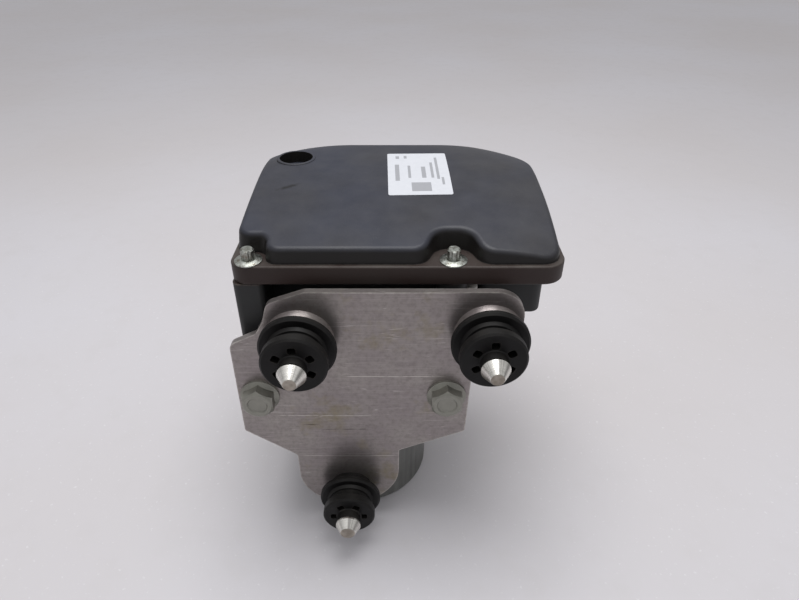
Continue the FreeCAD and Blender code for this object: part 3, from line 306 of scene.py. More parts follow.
# %% Starting a finish
def new_finish(name, colour, roughness, metallic=0.0, **plain):
    """A material with its shader, and the constant values set on the shader's own sockets."""
    material = bpy.data.materials.new(name)
    material.use_nodes = True
    tree = material.node_tree
    shader = tree.nodes["Principled BSDF"]
    shader.inputs["Base Color"].default_value = (*colour, 1.0)
    shader.inputs["Roughness"].default_value = roughness
    shader.inputs["Metallic"].default_value = metallic
    for label, value in plain.items():
        shader.inputs[label.replace("_", " ")].default_value = value
    return material, tree, shader.inputs


def rgb(red, green, blue):
    """A colour from 0 to 255 as the eye sees it, turned into linear values."""
    shares = [value / 255 for value in (red, green, blue)]
    linear = [share / 12.92 if share <= 0.04045 else ((share + 0.055) / 1.055) ** 2.4 for share in shares]
    return (*linear, 1.0)


def bumped(tree, shader, height, distance, strength=1.0):
    """Let a height move the shader's normal; distance is the real height in metres."""
    bump = add(tree, "ShaderNodeBump", {"Height": height, "Distance": distance, "Strength": strength})
    feed(tree, shader["Normal"], bump.outputs["Normal"])


# %% Cover plastic
# Satin black moulding: the crown turns a lighter blue-grey, partly a thin film of dust and partly
# painted reflection of the bright ceiling, which leaves the walls black, and a dark rub mark
# crosses the left side.
def cover_plastic(name):
    material, tree, shader = new_finish(name, (0.013, 0.013, 0.014), 0.42, Specular_IOR_Level=0.32)
    place = object_place(tree)
    clouds = noise(tree, place, scale=22.0, detail=3.0)
    # Up-facing surfaces go lighter and bluer: partly dust, partly painted reflection of the ceiling.
    dust_and_sky_sheen = place_effect(tree, settled_dust, Scale=18.0, Film=0.75, Amount=1.0)["Mask"]
    sheen_and_dust_tone = blend_colours(tree, band(tree, clouds, 0.35, 0.65), rgb(49, 49, 54), rgb(42, 46, 61))
    colour = blend_colours(tree, dust_and_sky_sheen, rgb(27, 25, 24), sheen_and_dust_tone)
    dust = place_effect(tree, settled_dust, Scale=90.0, Film=0.0, Amount=0.1)["Mask"]
    colour = blend_colours(tree, dust, colour, rgb(120, 118, 116))
    edges = place_effect(tree, worn_edges, Reach=0.0005, Breakup=700.0, Amount=0.35)["Mask"]
    colour = blend_colours(tree, edges, colour, rgb(96, 96, 98))
    rub = rub_mark(tree, place)
    colour = blend_colours(tree, rub, colour, rgb(14, 13, 14))
    feed(tree, shader["Base Color"], colour)
    feed(tree, shader["Roughness"], band(tree, clouds, 0.3, 0.7, to_low=0.36, to_high=0.46))
    grain = place_effect(tree, moulded_grain, Scale=1800.0, Softness=0.6)["Height"]
    bumped(tree, shader, grain, 0.00003, 0.6)
    return material


RUB_CENTRE = Vector((-27.5, 11.0, 157.0)) * MM
RUB_TURN = math.radians(-32.0)
RUB_HALF_LENGTH = 6.5 * MM
RUB_HALF_WIDTH = 1.5 * MM
RUB_FRAY = 1.2


def rub_mark(tree, place):
    """Mask of one short dark rub on the cover's top, a drawn-out soft spot."""
    centred = add(tree, "ShaderNodeMapping", {
        "Vector": place, "Location": -RUB_CENTRE}, vector_type="POINT").outputs[0]
    turned = add(tree, "ShaderNodeVectorRotate", {"Vector": centred, "Angle": RUB_TURN},
                 rotation_type="Z_AXIS").outputs[0]
    squeezed = stretched(tree, turned, (1 / RUB_HALF_LENGTH, 1 / RUB_HALF_WIDTH, 0.0))
    reach = add(tree, "ShaderNodeVectorMath", {0: squeezed}, operation="LENGTH").outputs["Value"]
    frayed = calc(tree, "MULTIPLY", noise(tree, place, scale=500.0, detail=4.0), RUB_FRAY)
    ragged = calc(tree, "ADD", reach, frayed)
    return band(tree, ragged, 1.7, 0.9, to_high=0.9)


# %% Housing plastic
# The lower moulding is a rougher black, with a pale line along its edges, partly rubbed wear and
# partly painted highlight. Its flange has browned in the light, and what lies in the shade below has stayed
# a neutral dark grey.
PIN_BELOW_FLANGE = 4.6 * MM
FLANGE_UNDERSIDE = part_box("locating_pin")[1].z + PIN_BELOW_FLANGE
FLANGE_FADE = 1.0 * MM


def housing_plastic(name):
    material, tree, shader = new_finish(name, (0.014, 0.011, 0.01), 0.48, Specular_IOR_Level=0.32)
    place = object_place(tree)
    flow = noise(tree, stretched(tree, place, (0.3, 0.3, 1.0)), scale=90.0, detail=4.0)
    colour = blend_colours(tree, band(tree, flow, 0.3, 0.7), rgb(47, 34, 31), rgb(53, 45, 42))
    height = add(tree, "ShaderNodeSeparateXYZ", {0: place}).outputs["Z"]
    below = band(tree, height, FLANGE_UNDERSIDE, FLANGE_UNDERSIDE - FLANGE_FADE)
    greyer = blend_colours(tree, band(tree, flow, 0.3, 0.7), rgb(40, 40, 41), rgb(49, 50, 50))
    colour = blend_colours(tree, below, colour, greyer)
    # Pale edges: partly rubbed wear, partly painted highlight.
    edges = place_effect(tree, worn_edges, Reach=0.0008, Breakup=500.0, Amount=0.6)["Mask"]
    colour = blend_colours(tree, edges, colour, rgb(112, 107, 100))
    dust = place_effect(tree, settled_dust, Scale=80.0, Amount=0.3)["Mask"]
    colour = blend_colours(tree, dust, colour, rgb(110, 108, 102))
    feed(tree, shader["Base Color"], colour)
    feed(tree, shader["Roughness"], band(tree, flow, 0.3, 0.7, to_low=0.42, to_high=0.58))
    grain = place_effect(tree, moulded_grain, Scale=2400.0, Softness=0.35)["Height"]
    bumped(tree, shader, grain, 0.00004, 0.7)
    return material


# %% Bracket sheet
# Rolled and plated sheet: a mauve-grey metal with cloudy tone, hairlines along the rolling
# direction, a few cross scratches, stains, and bright edges, partly bare sheared metal and partly
# painted highlight. It is smooth enough to show dark blurred images of the rubber mounts above
# each of them. Five longer lines run across it; each has a height, a left and right end in
# millimetres, and a grey tone, which is warmed by taking a little green and more blue away. The
# light line at 45.6 mm is a painted highlight along the bend above the tongue.
SHEET_LINES = (
    (95.1, -3.0, 42.0, 205), (72.0, -35.5, 9.5, 200), (66.4, -22.5, -14.5, 45), (63.3, -15.0, 8.5, 70),
    (45.6, -25.5, 21.3, 190))
SHEET_LINE_WIDTH = 0.3 * MM
WARM_GREEN = 6
WARM_BLUE = 12


def bracket_steel(name):
    material, tree, shader = new_finish(name, (0.3, 0.27, 0.26), 0.33, 0.8)
    place = object_place(tree)
    clouds = noise(tree, place, scale=45.0, detail=6.0, roughness=0.6)
    rolled = noise(tree, stretched(tree, place, (0.05, 1.0, 1.0)), scale=1400.0, detail=3.0)
    mottle = noise(tree, place, scale=420.0, detail=5.0, roughness=0.65)
    colour = blend_colours(tree, band(tree, clouds, 0.35, 0.65), rgb(141, 133, 133), rgb(153, 147, 143))
    colour = blend_colours(tree, band(tree, mottle, 0.45, 0.65, to_high=0.6), colour, rgb(124, 117, 115))
    colour = blend_colours(tree, band(tree, rolled, 0.4, 0.8, to_high=0.2), colour, rgb(180, 173, 169))
    stains = band(tree, noise(tree, place, scale=28.0, detail=5.0, roughness=0.7), 0.57, 0.7, to_high=0.55)
    colour = blend_colours(tree, stains, colour, rgb(140, 130, 98))
    along = place_effect(tree, hairlines, Stretch=(0.03, 1.0, 1.0), Scale=330.0, Width=0.006,
                         Cover=0.75)["Mask"]
    colour = blend_colours(tree, calc(tree, "MULTIPLY", along, 0.4), colour, rgb(220, 214, 209))
    across = place_effect(tree, hairlines, Stretch=(1.0, 1.0, 0.12), Scale=520.0, Width=0.008,
                          Cover=0.55)["Mask"]
    colour = blend_colours(tree, calc(tree, "MULTIPLY", across, 0.45), colour, rgb(120, 110, 106))
    # Bright edges: partly bare sheared metal, partly painted highlight.
    edges = place_effect(tree, worn_edges, Reach=0.0007, Breakup=350.0, Amount=0.7)["Mask"]
    colour = blend_colours(tree, edges, colour, rgb(220, 216, 208))
    # Each line gets its own grey. The light one at 45.6 mm is a painted highlight along the bend above the
    # tongue.
    for height, left, right, tone in SHEET_LINES:
        line = place_effect(tree, sheet_line, Height=height * MM, Left=left * MM, Right=right * MM,
                            Width=SHEET_LINE_WIDTH)["Mask"]
        colour = blend_colours(tree, line, colour, rgb(tone, tone - WARM_GREEN, tone - WARM_BLUE))
    feed(tree, shader["Base Color"], colour)
    rough = band(tree, mottle, 0.3, 0.7, to_low=0.3, to_high=0.4)
    feed(tree, shader["Roughness"], calc(tree, "ADD", rough, calc(tree, "MULTIPLY", stains, 0.25)))
    height = calc(tree, "ADD", calc(tree, "MULTIPLY", rolled, 0.5), calc(tree, "MULTIPLY", mottle, 0.5))
    height = calc(tree, "SUBTRACT", height, calc(tree, "MULTIPLY", along, 0.6))
    bumped(tree, shader, height, 0.000008, 0.5)
    return material


# %% Bolt plating
# The hex bolts carry a dull grey-green plating, a little brighter on their corners.
def bolt_steel(name):
    material, tree, shader = new_finish(name, (0.33, 0.33, 0.3), 0.45, 0.8)
    place = object_place(tree)
    clouds = noise(tree, place, scale=260.0, detail=5.0, roughness=0.6)
    colour = blend_colours(tree, clouds, rgb(122, 121, 114), rgb(162, 161, 152))
    edges = place_effect(tree, worn_edges, Reach=0.0005, Breakup=900.0, Amount=0.6)["Mask"]
    colour = blend_colours(tree, edges, colour, rgb(205, 205, 196))
    feed(tree, shader["Base Color"], colour)
    feed(tree, shader["Roughness"], band(tree, clouds, 0.3, 0.7, to_low=0.4, to_high=0.55))
    bumped(tree, shader, noise(tree, place, scale=1500.0, detail=3.0), 0.00004, 0.6)
    return material


# %% Mount rubber
# Moulded rubber is nearly black and soft in its gloss, with a faint grey bloom on its rims.
def mount_rubber(name):
    material, tree, shader = new_finish(name, (0.008, 0.007, 0.007), 0.45, Specular_IOR_Level=0.22)
    place = object_place(tree)
    bloom = noise(tree, place, scale=150.0, detail=5.0, roughness=0.6)
    colour = blend_colours(tree, bloom, rgb(10, 9, 9), rgb(18, 17, 17))
    dust = place_effect(tree, settled_dust, Scale=120.0, Film=0.1, Amount=0.12)["Mask"]
    colour = blend_colours(tree, dust, colour, rgb(96, 92, 86))
    edges = place_effect(tree, worn_edges, Reach=0.0006, Breakup=600.0, Amount=0.25)["Mask"]
    colour = blend_colours(tree, edges, colour, rgb(84, 80, 74))
    feed(tree, shader["Base Color"], colour)
    feed(tree, shader["Roughness"], band(tree, bloom, 0.3, 0.7, to_low=0.42, to_high=0.6))
    grain = place_effect(tree, moulded_grain, Scale=1500.0, Softness=0.7)["Height"]
    bumped(tree, shader, grain, 0.00003, 0.5)
    return material


# %% Bright turned steel
# The cone tips are freshly turned. Rings too fine to see one by one spread the reflection
# across the cone, which gives white and dark sectors. The shader's anisotropy does that
# when its tangent runs round the pin's own axis, and darker sectors are also painted into the
# colour as painted reflection. The blunt end was cut off by a saw and has stayed brownish and dull.
TIP_DEPTH = 0.25 * MM
NO_CUT_END = -1.0


def bright_steel(name, centre=(0.0, 0.0, 0.0), tip=NO_CUT_END):
    material, tree, shader = new_finish(name, (0.78, 0.77, 0.74), 0.26, 1.0, Anisotropic=0.75)
    place = object_place(tree)
    arm = add(tree, "ShaderNodeVectorMath", {0: place, 1: centre}, operation="SUBTRACT").outputs[0]
    round_axis = add(tree, "ShaderNodeVectorMath", {0: arm, 1: (0.0, 1.0, 0.0)}, operation="CROSS_PRODUCT")
    feed(tree, shader["Tangent"], round_axis.outputs[0])
    tone = noise(tree, place, scale=300.0, detail=4.0)
    colour = blend_colours(tree, tone, rgb(214, 211, 204), rgb(240, 238, 232))
    nicks = place_effect(tree, hairlines, Stretch=(1.0, 1.0, 1.0), Scale=900.0, Width=0.012,
                         Cover=0.5)["Mask"]
    colour = blend_colours(tree, calc(tree, "MULTIPLY", nicks, 0.5), colour, rgb(150, 145, 138))
    rings = place_effect(tree, turning_marks, Centre=centre, Scale=6000.0)["Height"]
    colour = blend_colours(tree, band(tree, rings, 0.45, 0.62, to_high=0.15), colour, rgb(150, 147, 142))
    # Painted reflection: darker sectors round the pin's axis.
    painted_dark_sectors = place_effect(tree, painted_reflection_sectors, Centre=centre, Scale=1.6)["Mask"]
    colour = blend_colours(tree, painted_dark_sectors, colour, rgb(112, 110, 107))
    along = add(tree, "ShaderNodeSeparateXYZ", {0: place}).outputs["Y"]
    cut_off = calc(tree, "LESS_THAN", along, tip + TIP_DEPTH)
    sawn = blend_colours(tree, band(tree, tone, 0.35, 0.65), rgb(142, 134, 124), rgb(180, 172, 162))
    colour = blend_colours(tree, cut_off, colour, sawn)
    feed(tree, shader["Base Color"], colour)
    rough = band(tree, tone, 0.3, 0.7, to_low=0.2, to_high=0.3)
    feed(tree, shader["Roughness"], calc(tree, "ADD", rough, calc(tree, "MULTIPLY", cut_off, 0.2)))
    bumped(tree, shader, rings, 0.000004, 0.4)
    return material


# %% Locating pin with painted highlight
# The small pin under the flange is plated and a little dull; its near-white, barely metallic base is a
# painted highlight that keeps it pale in its shade.
def painted_bright_pin(name):
    material, tree, shader = new_finish(name, (0.7, 0.68, 0.64), 0.35, 0.1)
    place = object_place(tree)
    tone = noise(tree, place, scale=500.0, detail=4.0)
    # Painted highlight: a near-white base colour in place of the light the plated pin catches.
    feed(tree, shader["Base Color"], blend_colours(tree, tone, rgb(214, 208, 200), rgb(246, 243, 238)))
    feed(tree, shader["Roughness"], band(tree, tone, 0.3, 0.7, to_low=0.32, to_high=0.46))
    bumped(tree, shader, tone, 0.00001, 0.5)
    return material


# %% Zinc screws
def zinc_screw(name):
    """Zinc with a faint yellow-green cast, dull brownish spots and lighter worn edges."""
    material, tree, shader = new_finish(name, (0.42, 0.43, 0.41), 0.32, 0.95)
    place = object_place(tree)
    spots = noise(tree, place, scale=700.0, detail=4.0, roughness=0.6)
    colour = blend_colours(tree, band(tree, spots, 0.35, 0.65), rgb(134, 134, 126), rgb(186, 190, 184))
    browned = band(tree, noise(tree, place, scale=380.0, detail=3.0), 0.55, 0.7, to_high=0.6)
    colour = blend_colours(tree, browned, colour, rgb(112, 98, 82))
    edges = place_effect(tree, worn_edges, Reach=0.0003, Breakup=1200.0, Amount=0.5)["Mask"]
    colour = blend_colours(tree, edges, colour, rgb(226, 228, 222))
    feed(tree, shader["Base Color"], colour)
    feed(tree, shader["Roughness"], band(tree, spots, 0.3, 0.7, to_low=0.24, to_high=0.42))
    bumped(tree, shader, spots, 0.00003, 0.6)
    return material


# %% Motor can
# The drawn can is coated dark grey, with streaks from the drawing tool up its side.
def can_steel(name):
    material, tree, shader = new_finish(name, (0.08, 0.08, 0.08), 0.4, 0.35)
    place = object_place(tree)
    drawn = noise(tree, stretched(tree, place, (1.0, 1.0, 0.05)), scale=420.0, detail=4.0)
    clouds = noise(tree, place, scale=40.0, detail=5.0)
    colour = blend_colours(tree, band(tree, drawn, 0.3, 0.7), rgb(98, 99, 96), rgb(120, 121, 118))
    colour = blend_colours(tree, band(tree, clouds, 0.5, 0.75, to_high=0.4), colour, rgb(70, 67, 62))
    edges = place_effect(tree, worn_edges, Reach=0.0006, Breakup=500.0, Amount=0.5)["Mask"]
    colour = blend_colours(tree, edges, colour, rgb(150, 150, 146))
    feed(tree, shader["Base Color"], colour)
    feed(tree, shader["Roughness"], band(tree, clouds, 0.3, 0.7, to_low=0.36, to_high=0.5))
    bumped(tree, shader, drawn, 0.00003, 0.5)
    return material


# %% Machined block
# The valve block is extruded and milled aluminium, so feed lines run along its faces. The
# clear anodised skin is a little cloudy and holds grime in soft patches.
def block_aluminium(name):
    material, tree, shader = new_finish(name, (0.42, 0.42, 0.43), 0.38, 0.85)
    place = object_place(tree)
    milled = noise(tree, stretched(tree, place, (1.0, 1.0, 0.03)), scale=1600.0, detail=3.0)
    clouds = noise(tree, place, scale=60.0, detail=4.0)
    colour = blend_colours(tree, band(tree, clouds, 0.3, 0.7), rgb(158, 158, 159), rgb(182, 182, 183))
    colour = blend_colours(tree, band(tree, milled, 0.35, 0.7, to_high=0.4), colour, rgb(205, 205, 206))
    grime = band(tree, noise(tree, place, scale=24.0, detail=6.0, roughness=0.65), 0.55, 0.75, to_high=0.45)
    colour = blend_colours(tree, grime, colour, rgb(128, 124, 118))
    edges = place_effect(tree, worn_edges, Reach=0.0005, Breakup=500.0, Amount=0.6)["Mask"]
    colour = blend_colours(tree, edges, colour, rgb(235, 235, 236))
    feed(tree, shader["Base Color"], colour)
    feed(tree, shader["Roughness"], band(tree, milled, 0.3, 0.7, to_low=0.28, to_high=0.44))
    bumped(tree, shader, milled, 0.00003, 0.5)
    return material


# %% [markdown]
# ## Finishes of the inner pieces
#
# The rest is sealed inside, but a reader may open the model. Their finishes differ mostly in
# colour, gloss and the size of their grain, so one function makes them all from a short list.


# %% Inner finishes
RUBBED_LIGHTER = 45


def plain_grained(name, dark, light, roughness, metallic, scale, bump):
    """A finish with cloudy tone between two colours, and a fine bump of the same noise."""
    material, tree, shader = new_finish(name, rgb(*light)[:3], roughness, metallic)
    place = object_place(tree)
    grain = noise(tree, place, scale=scale, detail=4.0, roughness=0.6)
    colour = blend_colours(tree, band(tree, grain, 0.3, 0.7), rgb(*dark), rgb(*light))
    edges = place_effect(tree, worn_edges, Reach=0.0003, Breakup=900.0, Amount=0.3)["Mask"]
    lighter = tuple(min(255, value + RUBBED_LIGHTER) for value in light)
    colour = blend_colours(tree, edges, colour, rgb(*lighter))
    feed(tree, shader["Base Color"], colour)
    smooth_spots = roughness - 0.05
    dull_spots = roughness + 0.08
    feed(tree, shader["Roughness"], band(tree, grain, 0.3, 0.7, smooth_spots, dull_spots))
    bumped(tree, shader, grain, bump, 0.5)
    return material


# A row holds the dark and the light tone, the roughness, how metallic it is, the lumps of grain
# for each metre, and the height of the bump in metres.
INNER = {
    "seal_rubber": ((30, 30, 30), (44, 43, 42), 0.55, 0.0, 700.0, 0.00002),
    "board_laminate": ((22, 84, 48), (34, 108, 62), 0.35, 0.0, 500.0, 0.00001),
    "tinned_brass": ((190, 184, 166), (216, 210, 190), 0.3, 1.0, 900.0, 0.00001),
    "coil_wrap": ((46, 38, 34), (66, 56, 50), 0.5, 0.0, 600.0, 0.00003),
    "ferrite": ((58, 58, 60), (82, 82, 86), 0.6, 0.2, 1500.0, 0.00004),
    "core_steel": ((128, 128, 130), (164, 164, 166), 0.45, 0.9, 900.0, 0.00002),
    "winding_copper": ((168, 86, 44), (206, 120, 70), 0.35, 0.9, 1100.0, 0.00003),
    "carbon": ((44, 44, 46), (66, 66, 70), 0.5, 0.1, 1600.0, 0.00002),
    "spring_steel": ((150, 150, 152), (190, 190, 192), 0.3, 1.0, 1200.0, 0.00001),
    "valve_steel": ((168, 168, 170), (206, 206, 210), 0.28, 1.0, 1000.0, 0.00001),
}
# The slots that show from outside have a function each.
OUTER = {
    "cover_plastic": cover_plastic, "housing_plastic": housing_plastic, "bracket_steel": bracket_steel,
    "bolt_steel": bolt_steel, "mount_rubber": mount_rubber, "bright_steel": bright_steel,
    "zinc_screw": zinc_screw, "can_steel": can_steel, "block_aluminium": block_aluminium,
}
finishes = {slot: make(slot) for slot, make in OUTER.items()}
finishes.update({slot: plain_grained(slot, *values) for slot, values in INNER.items()})
print("finishes:", len(finishes))


# %% Give each node its finish
def middle_of(node):
    """The middle of a node's box at rest."""
    low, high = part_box(node)
    return (low + high) / 2


for node, piece in nodes.items():
    piece.material_slots[0].material = finishes[slot_of[node]]
for side in ("left", "right", "bottom"):
    pin = f"mounting_pin_{side}"
    turned = bright_steel(f"turned_{side}", tuple(middle_of(pin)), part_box(pin)[0].y)
    nodes[pin].material_slots[0].material = turned
nodes["locating_pin"].material_slots[0].material = painted_bright_pin("painted_bright_pin")
print("finished nodes:", len(nodes))

# %% [markdown]
# ## Paper label
#
# A white label lies on the cover's crown. It is a flat rectangle with tiny round corners,
# cut into strips so that it can bend, then every point is dropped onto the cover by a ray
# from above. It was stuck on a degree or two askew. Its print is left as plain grey bars and
# one grey block, because the real words and signs aren't copied.

# %% Label shape
LABEL_LOW = Vector((16.1, 3.8, 0.0)) * MM
LABEL_HIGH = Vector((44.3, 48.2, 0.0)) * MM
LABEL_TURN = math.radians(1.6)
LABEL_CORNER = 1.0 * MM
LABEL_THICKNESS = 0.12 * MM
LABEL_LIFT = 0.03 * MM
LABEL_STRIP = 2.0 * MM
WELL_ABOVE = 1.0

label_size = LABEL_HIGH - LABEL_LOW
label_middle = (LABEL_LOW + LABEL_HIGH) / 2


def top_surface(node):
    """Something to shoot rays at, made from a node's own mesh."""
    mesh = nodes[node].data
    return BVHTree.FromPolygons([v.co for v in mesh.vertices], [p.vertices for p in mesh.polygons])


def finish_piece(name, shape, finish, body):
    """Turn a bmesh into an object that rides on a body and has a finish."""
    mesh = bpy.data.meshes.new(name)
    shape.to_mesh(mesh)
    shape.free()
    mesh.materials.append(finish)
    piece = bpy.data.objects.new(name, mesh)
    bpy.context.scene.collection.objects.link(piece)
    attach(piece, body)
    return piece


shape = bmesh.new()
bmesh.ops.create_grid(shape, x_segments=1, y_segments=1, size=0.5)
bmesh.ops.scale(shape, vec=(label_size.x, label_size.y, 1.0), verts=shape.verts)
bmesh.ops.bevel(shape, geom=shape.verts[:], offset=LABEL_CORNER, segments=4, affect="VERTICES",
                profile=0.5, material=-1)
bmesh.ops.translate(shape, vec=label_middle, verts=shape.verts)
for axis in (0, 1):
    strips = round(label_size[axis] / LABEL_STRIP)
    direction = Vector((1, 0, 0)) if axis == 0 else Vector((0, 1, 0))
    for index in range(1, strips):
        spot = LABEL_LOW + direction * (label_size[axis] * index / strips)
        everything = shape.verts[:] + shape.edges[:] + shape.faces[:]
        bmesh.ops.bisect_plane(shape, geom=everything, plane_co=spot, plane_no=direction)
askew = Matrix.Rotation(LABEL_TURN, 3, "Z")
bmesh.ops.rotate(shape, cent=label_middle, matrix=askew, verts=shape.verts)
cover = top_surface("ecu_cover")
for vert in shape.verts:
    hit = cover.ray_cast(Vector((vert.co.x, vert.co.y, WELL_ABOVE)), Vector((0, 0, -1)))[0]
    vert.co.z = hit.z + LABEL_LIFT
raised = bmesh.ops.extrude_face_region(shape, geom=shape.faces[:])["geom"]
lifted = [item for item in raised if isinstance(item, bmesh.types.BMVert)]
bmesh.ops.translate(shape, vec=(0, 0, LABEL_THICKNESS), verts=lifted)
bmesh.ops.recalc_face_normals(shape, faces=shape.faces[:])
print("label:", len(shape.faces), "faces,", [round(v / MM, 1) for v in label_size[:2]], "mm")


# %% Label finish
# Coated paper is nearly white. A bar is a plain rectangle, so the mask needs only two
# comparisons for each axis. The places are shares of the label's width and length.
BAR_INK = rgb(92, 92, 96)
BAR_STRENGTH = 0.55
LABEL_BARS = (
    ((0.12, 0.29), (0.19, 0.68)), ((0.33, 0.35), (0.375, 0.65)), ((0.55, 0.35), (0.62, 0.62)),
    ((0.70, 0.35), (0.745, 0.73)), ((0.79, 0.32), (0.835, 0.87)), ((0.86, 0.2), (0.9, 0.36)),
    ((0.14, 0.84), (0.2, 0.92)), ((0.28, 0.85), (0.33, 0.93)), ((0.37, 0.07), (0.68, 0.25)),
)


def inside_box(tree, share, low, high):
    """Mask of a rectangle between two corners."""
    mask = None
    for axis, start, end in (("X", low[0], high[0]), ("Y", low[1], high[1])):
        over = calc(tree, "GREATER_THAN", share.outputs[axis], start)
        under = calc(tree, "LESS_THAN", share.outputs[axis], end)
        both = calc(tree, "MULTIPLY", over, under)
        mask = both if mask is None else calc(tree, "MULTIPLY", mask, both)
    return mask


def label_share(tree, place):
    """The point's place on the label, from 0 to 1 across and along."""
    straight = add(tree, "ShaderNodeVectorRotate", {
        "Vector": place, "Center": tuple(label_middle), "Angle": -LABEL_TURN}, rotation_type="Z_AXIS")
    moved = add(tree, "ShaderNodeVectorMath", {0: straight.outputs[0], 1: tuple(LABEL_LOW)},
                operation="SUBTRACT").outputs[0]
    share = stretched(tree, moved, (1 / label_size.x, 1 / label_size.y, 0.0))
    return add(tree, "ShaderNodeSeparateXYZ", {0: share})


def label_paper(name):
    material, tree, shader = new_finish(name, rgb(208, 210, 216)[:3], 0.5, Specular_IOR_Level=0.3)
    place = object_place(tree)
    share = label_share(tree, place)
    fibre = noise(tree, place, scale=500.0, detail=5.0)
    colour = blend_colours(tree, fibre, rgb(196, 198, 204), rgb(206, 208, 213))
    for low, high in LABEL_BARS:
        mask = calc(tree, "MULTIPLY", inside_box(tree, share, low, high), BAR_STRENGTH)
        colour = blend_colours(tree, mask, colour, BAR_INK)
    feed(tree, shader["Base Color"], colour)
    feed(tree, shader["Roughness"], band(tree, fibre, 0.3, 0.7, to_low=0.4, to_high=0.52))
    bumped(tree, shader, fibre, 0.00001, 0.5)
    return material


label = finish_piece("paper_label", shape, label_paper("label_paper"), "unit")
print("label bars:", len(LABEL_BARS))

# %% [markdown]
# ## Port threads
#
# Brake pipes screw into six ports in the back of the block. A thread is one ridge wound as a
# helix, so a small triangle is spun round the port's axis while it moves inwards by the
# pitch for each turn. The spin operator does both at once, and it leaves the two ends closed.
# The cut was made after the block was anodised, so it is a shade darker than the faces.

# %% Port threads
WHEEL_PORTS = 4
WHEEL_PORT_RADIUS = 5.0 * MM
WHEEL_PORT_SPACING = 22.0 * MM
WHEEL_PORTS_BELOW_TOP = 16.0 * MM
INLET_PORT_RADIUS = 6.0 * MM
INLET_PORT_SPACING = 19.0 * MM
INLET_PORTS_ABOVE_BOTTOM = 14.5 * MM
THREAD_PITCH = 1.25 * MM
THREAD_DEPTH = 0.65 * MM
THREAD_SINK = 0.05 * MM
THREAD_START = 2.0 * MM
THREAD_TURNS = 6
STEPS_IN_TURN = 36
THREAD_HALF = 0.33 * THREAD_PITCH
block_low, block_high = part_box("hydraulic_block")


def add_thread(shape, across, level, radius):
    """One helical ridge on the wall of a port whose axis runs along Y."""
    start = block_high.y - THREAD_START
    foot = across + radius + THREAD_SINK
    tip = across + radius - THREAD_DEPTH
    corners = ((foot, start - THREAD_HALF), (foot, start + THREAD_HALF), (tip, start))
    profile = shape.faces.new([shape.verts.new((x, y, level)) for x, y in corners])
    steps = STEPS_IN_TURN * THREAD_TURNS
    bmesh.ops.spin(shape, geom=[profile, *profile.edges, *profile.verts], cent=(across, start, level),
                   axis=(0, 1, 0), dvec=(0, -THREAD_PITCH / STEPS_IN_TURN, 0),
                   angle=2 * math.pi * THREAD_TURNS, steps=steps, use_merge=False)


shape = bmesh.new()
for column in range(WHEEL_PORTS):
    across = (column - (WHEEL_PORTS - 1) / 2) * WHEEL_PORT_SPACING
    add_thread(shape, across, block_high.z - WHEEL_PORTS_BELOW_TOP, WHEEL_PORT_RADIUS)
for side in (-1, 1):
    across = side * INLET_PORT_SPACING / 2
    add_thread(shape, across, block_low.z + INLET_PORTS_ABOVE_BOTTOM, INLET_PORT_RADIUS)
bmesh.ops.recalc_face_normals(shape, faces=shape.faces[:])
open_edges = sum(1 for edge in shape.edges if not edge.is_manifold)
print("port threads:", len(shape.faces), "faces,", open_edges, "open edges")
cut_thread = plain_grained("cut_thread", dark=(112, 112, 114), light=(138, 138, 140), roughness=0.4,
                           metallic=0.85, scale=900.0, bump=0.00001)
finish_piece("port_threads", shape, cut_thread, "unit")

# %% [markdown]
# ## Round-wire springs
#
# Six coil springs push the brushes and pistons back. The real ones are of round wire, which
# the fixed frame draws square, and each shortens as its piece slides against it. A round
# profile is spun up the axis as the thread was.

# %% Springs
SPRING_WIRE = {"brush": 0.5 * MM, "pump": 0.7 * MM, "accumulator": 1.1 * MM}
SPRING_TURNS = {"brush": 3.5, "pump": 4.5, "accumulator": 4.5}
WIRE_SIDES = 12
SPRING_STEPS_IN_TURN = 32


def add_spring(node, joint):
    """Round-wire spring in place of the node, wound along its joint's axis."""
    kind = node.split("_")[0]
    wire = SPRING_WIRE[kind]
    low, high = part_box(node)
    slide = Vector(joint["axis"])
    length = abs((high - low).dot(slide))
    foot = (low + high) / 2 - slide * length / 2
    shape = bmesh.new()
    bmesh.ops.create_circle(shape, cap_ends=True, segments=WIRE_SIDES, radius=wire / 2)
    upright = Matrix.Rotation(math.pi / 2, 3, "X")
    bmesh.ops.rotate(shape, cent=(0, 0, 0), matrix=upright, verts=shape.verts)
    mean_radius = (high.y - low.y - wire) / 2
    bmesh.ops.translate(shape, vec=(mean_radius, 0, wire / 2), verts=shape.verts)
    steps = round(SPRING_TURNS[kind] * SPRING_STEPS_IN_TURN)
    bmesh.ops.spin(shape, geom=shape.verts[:] + shape.edges[:] + shape.faces[:], cent=(0, 0, 0),
                   axis=(0, 0, 1), dvec=(0, 0, (length - wire) / steps),
                   angle=2 * math.pi * SPRING_TURNS[kind], steps=steps, use_merge=False)
    along = slide.to_track_quat("Z", "Y").to_matrix()
    bmesh.ops.rotate(shape, cent=(0, 0, 0), matrix=along, verts=shape.verts)
    bmesh.ops.translate(shape, vec=foot, verts=shape.verts)
    bmesh.ops.recalc_face_normals(shape, faces=shape.faces[:])
    piece = finish_piece(f"{node}_wound", shape, finishes[slot_of[node]], "unit")
    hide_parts(node)
    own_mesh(piece)


for joint in frame["record"]["behaviour"]["joints"]:
    for row in joint.get("deforming_nodes", []):
        add_spring(row["node"], joint)

# %% [markdown]
# ## Floor, light and room
#
# The photograph shows only a pale, slightly mottled floor. A large plane fills the view, a
# wide soft lamp hangs above, a little behind the unit, and the room is a pale grey.

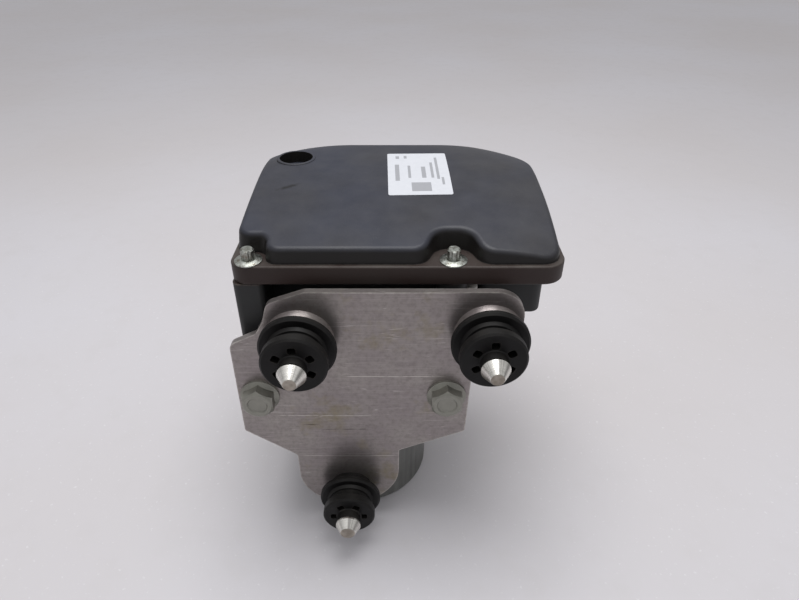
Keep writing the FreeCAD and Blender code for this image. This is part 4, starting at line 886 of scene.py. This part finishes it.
# %% Floor
FLOOR_REACH = 6.0
floor_shape = bmesh.new()
bmesh.ops.create_grid(floor_shape, x_segments=1, y_segments=1, size=FLOOR_REACH / 2)
floor_mesh = bpy.data.meshes.new("floor")
floor_shape.to_mesh(floor_mesh)
floor_shape.free()
floor = bpy.data.objects.new("floor", floor_mesh)
bpy.context.scene.collection.objects.link(floor)
floor_material, tree, shader = new_finish("floor", rgb(203, 200, 202)[:3], 0.6, Specular_IOR_Level=0.3)
place = object_place(tree)
broad = noise(tree, place, scale=3.0, detail=2.0)
colour = blend_colours(tree, band(tree, broad, 0.3, 0.7), rgb(201, 197, 198), rgb(205, 203, 207))
smudges = band(tree, noise(tree, place, scale=45.0, detail=4.0, roughness=0.6), 0.5, 0.75, to_high=0.3)
colour = blend_colours(tree, smudges, colour, rgb(197, 194, 195))
flecks = band(tree, noise(tree, place, scale=420.0, detail=2.0, roughness=0.5), 0.66, 0.74, to_high=0.5)
colour = blend_colours(tree, flecks, colour, rgb(222, 221, 223))
feed(tree, shader["Base Color"], colour)
feed(tree, shader["Roughness"], band(tree, smudges, 0.0, 0.3, to_low=0.55, to_high=0.65))
floor_mesh.materials.append(floor_material)
print("floor:", FLOOR_REACH, "m wide")

# %% Room and lamps
# The room is darkest at eye height and brightens towards the ceiling, as rooms do, so bright
# metal has something dark and something light to show.
ROOM_TINT = (0.95, 0.95, 0.97, 1.0)
WALL_LIGHT = 0.4
CEILING_LIGHT = 0.8
WALL_TOP = 0.3
CEILING_EDGE = 0.8
KEY_PLACE = Vector((0.02, 0.04, 0.9))
KEY_TARGET = Vector((0, 0, 0.09))
KEY_SIZE = 0.6
KEY_ENERGY = 4.8
world = bpy.data.worlds.new("room")
world.use_nodes = True
bpy.context.scene.world = world
room = world.node_tree
direction = add(room, "ShaderNodeTexCoord").outputs["Generated"]
rise = add(room, "ShaderNodeSeparateXYZ", {0: direction}).outputs["Z"]
background = room.nodes["Background"].inputs
background["Color"].default_value = ROOM_TINT
feed(room, background["Strength"], band(room, rise, WALL_TOP, CEILING_EDGE, WALL_LIGHT, CEILING_LIGHT))
key = bpy.data.lights.new("key_lamp", "AREA")
key.shape = "DISK"
key.size = KEY_SIZE
key.energy = KEY_ENERGY
key_lamp = bpy.data.objects.new("key_lamp", key)
key_lamp.location = KEY_PLACE
aim = KEY_TARGET - KEY_PLACE
key_lamp.rotation_euler = aim.to_track_quat("-Z", "Y").to_euler()
bpy.context.scene.collection.objects.link(key_lamp)
print("light: walls", WALL_LIGHT, "ceiling", CEILING_LIGHT, "lamp", KEY_ENERGY, "W")
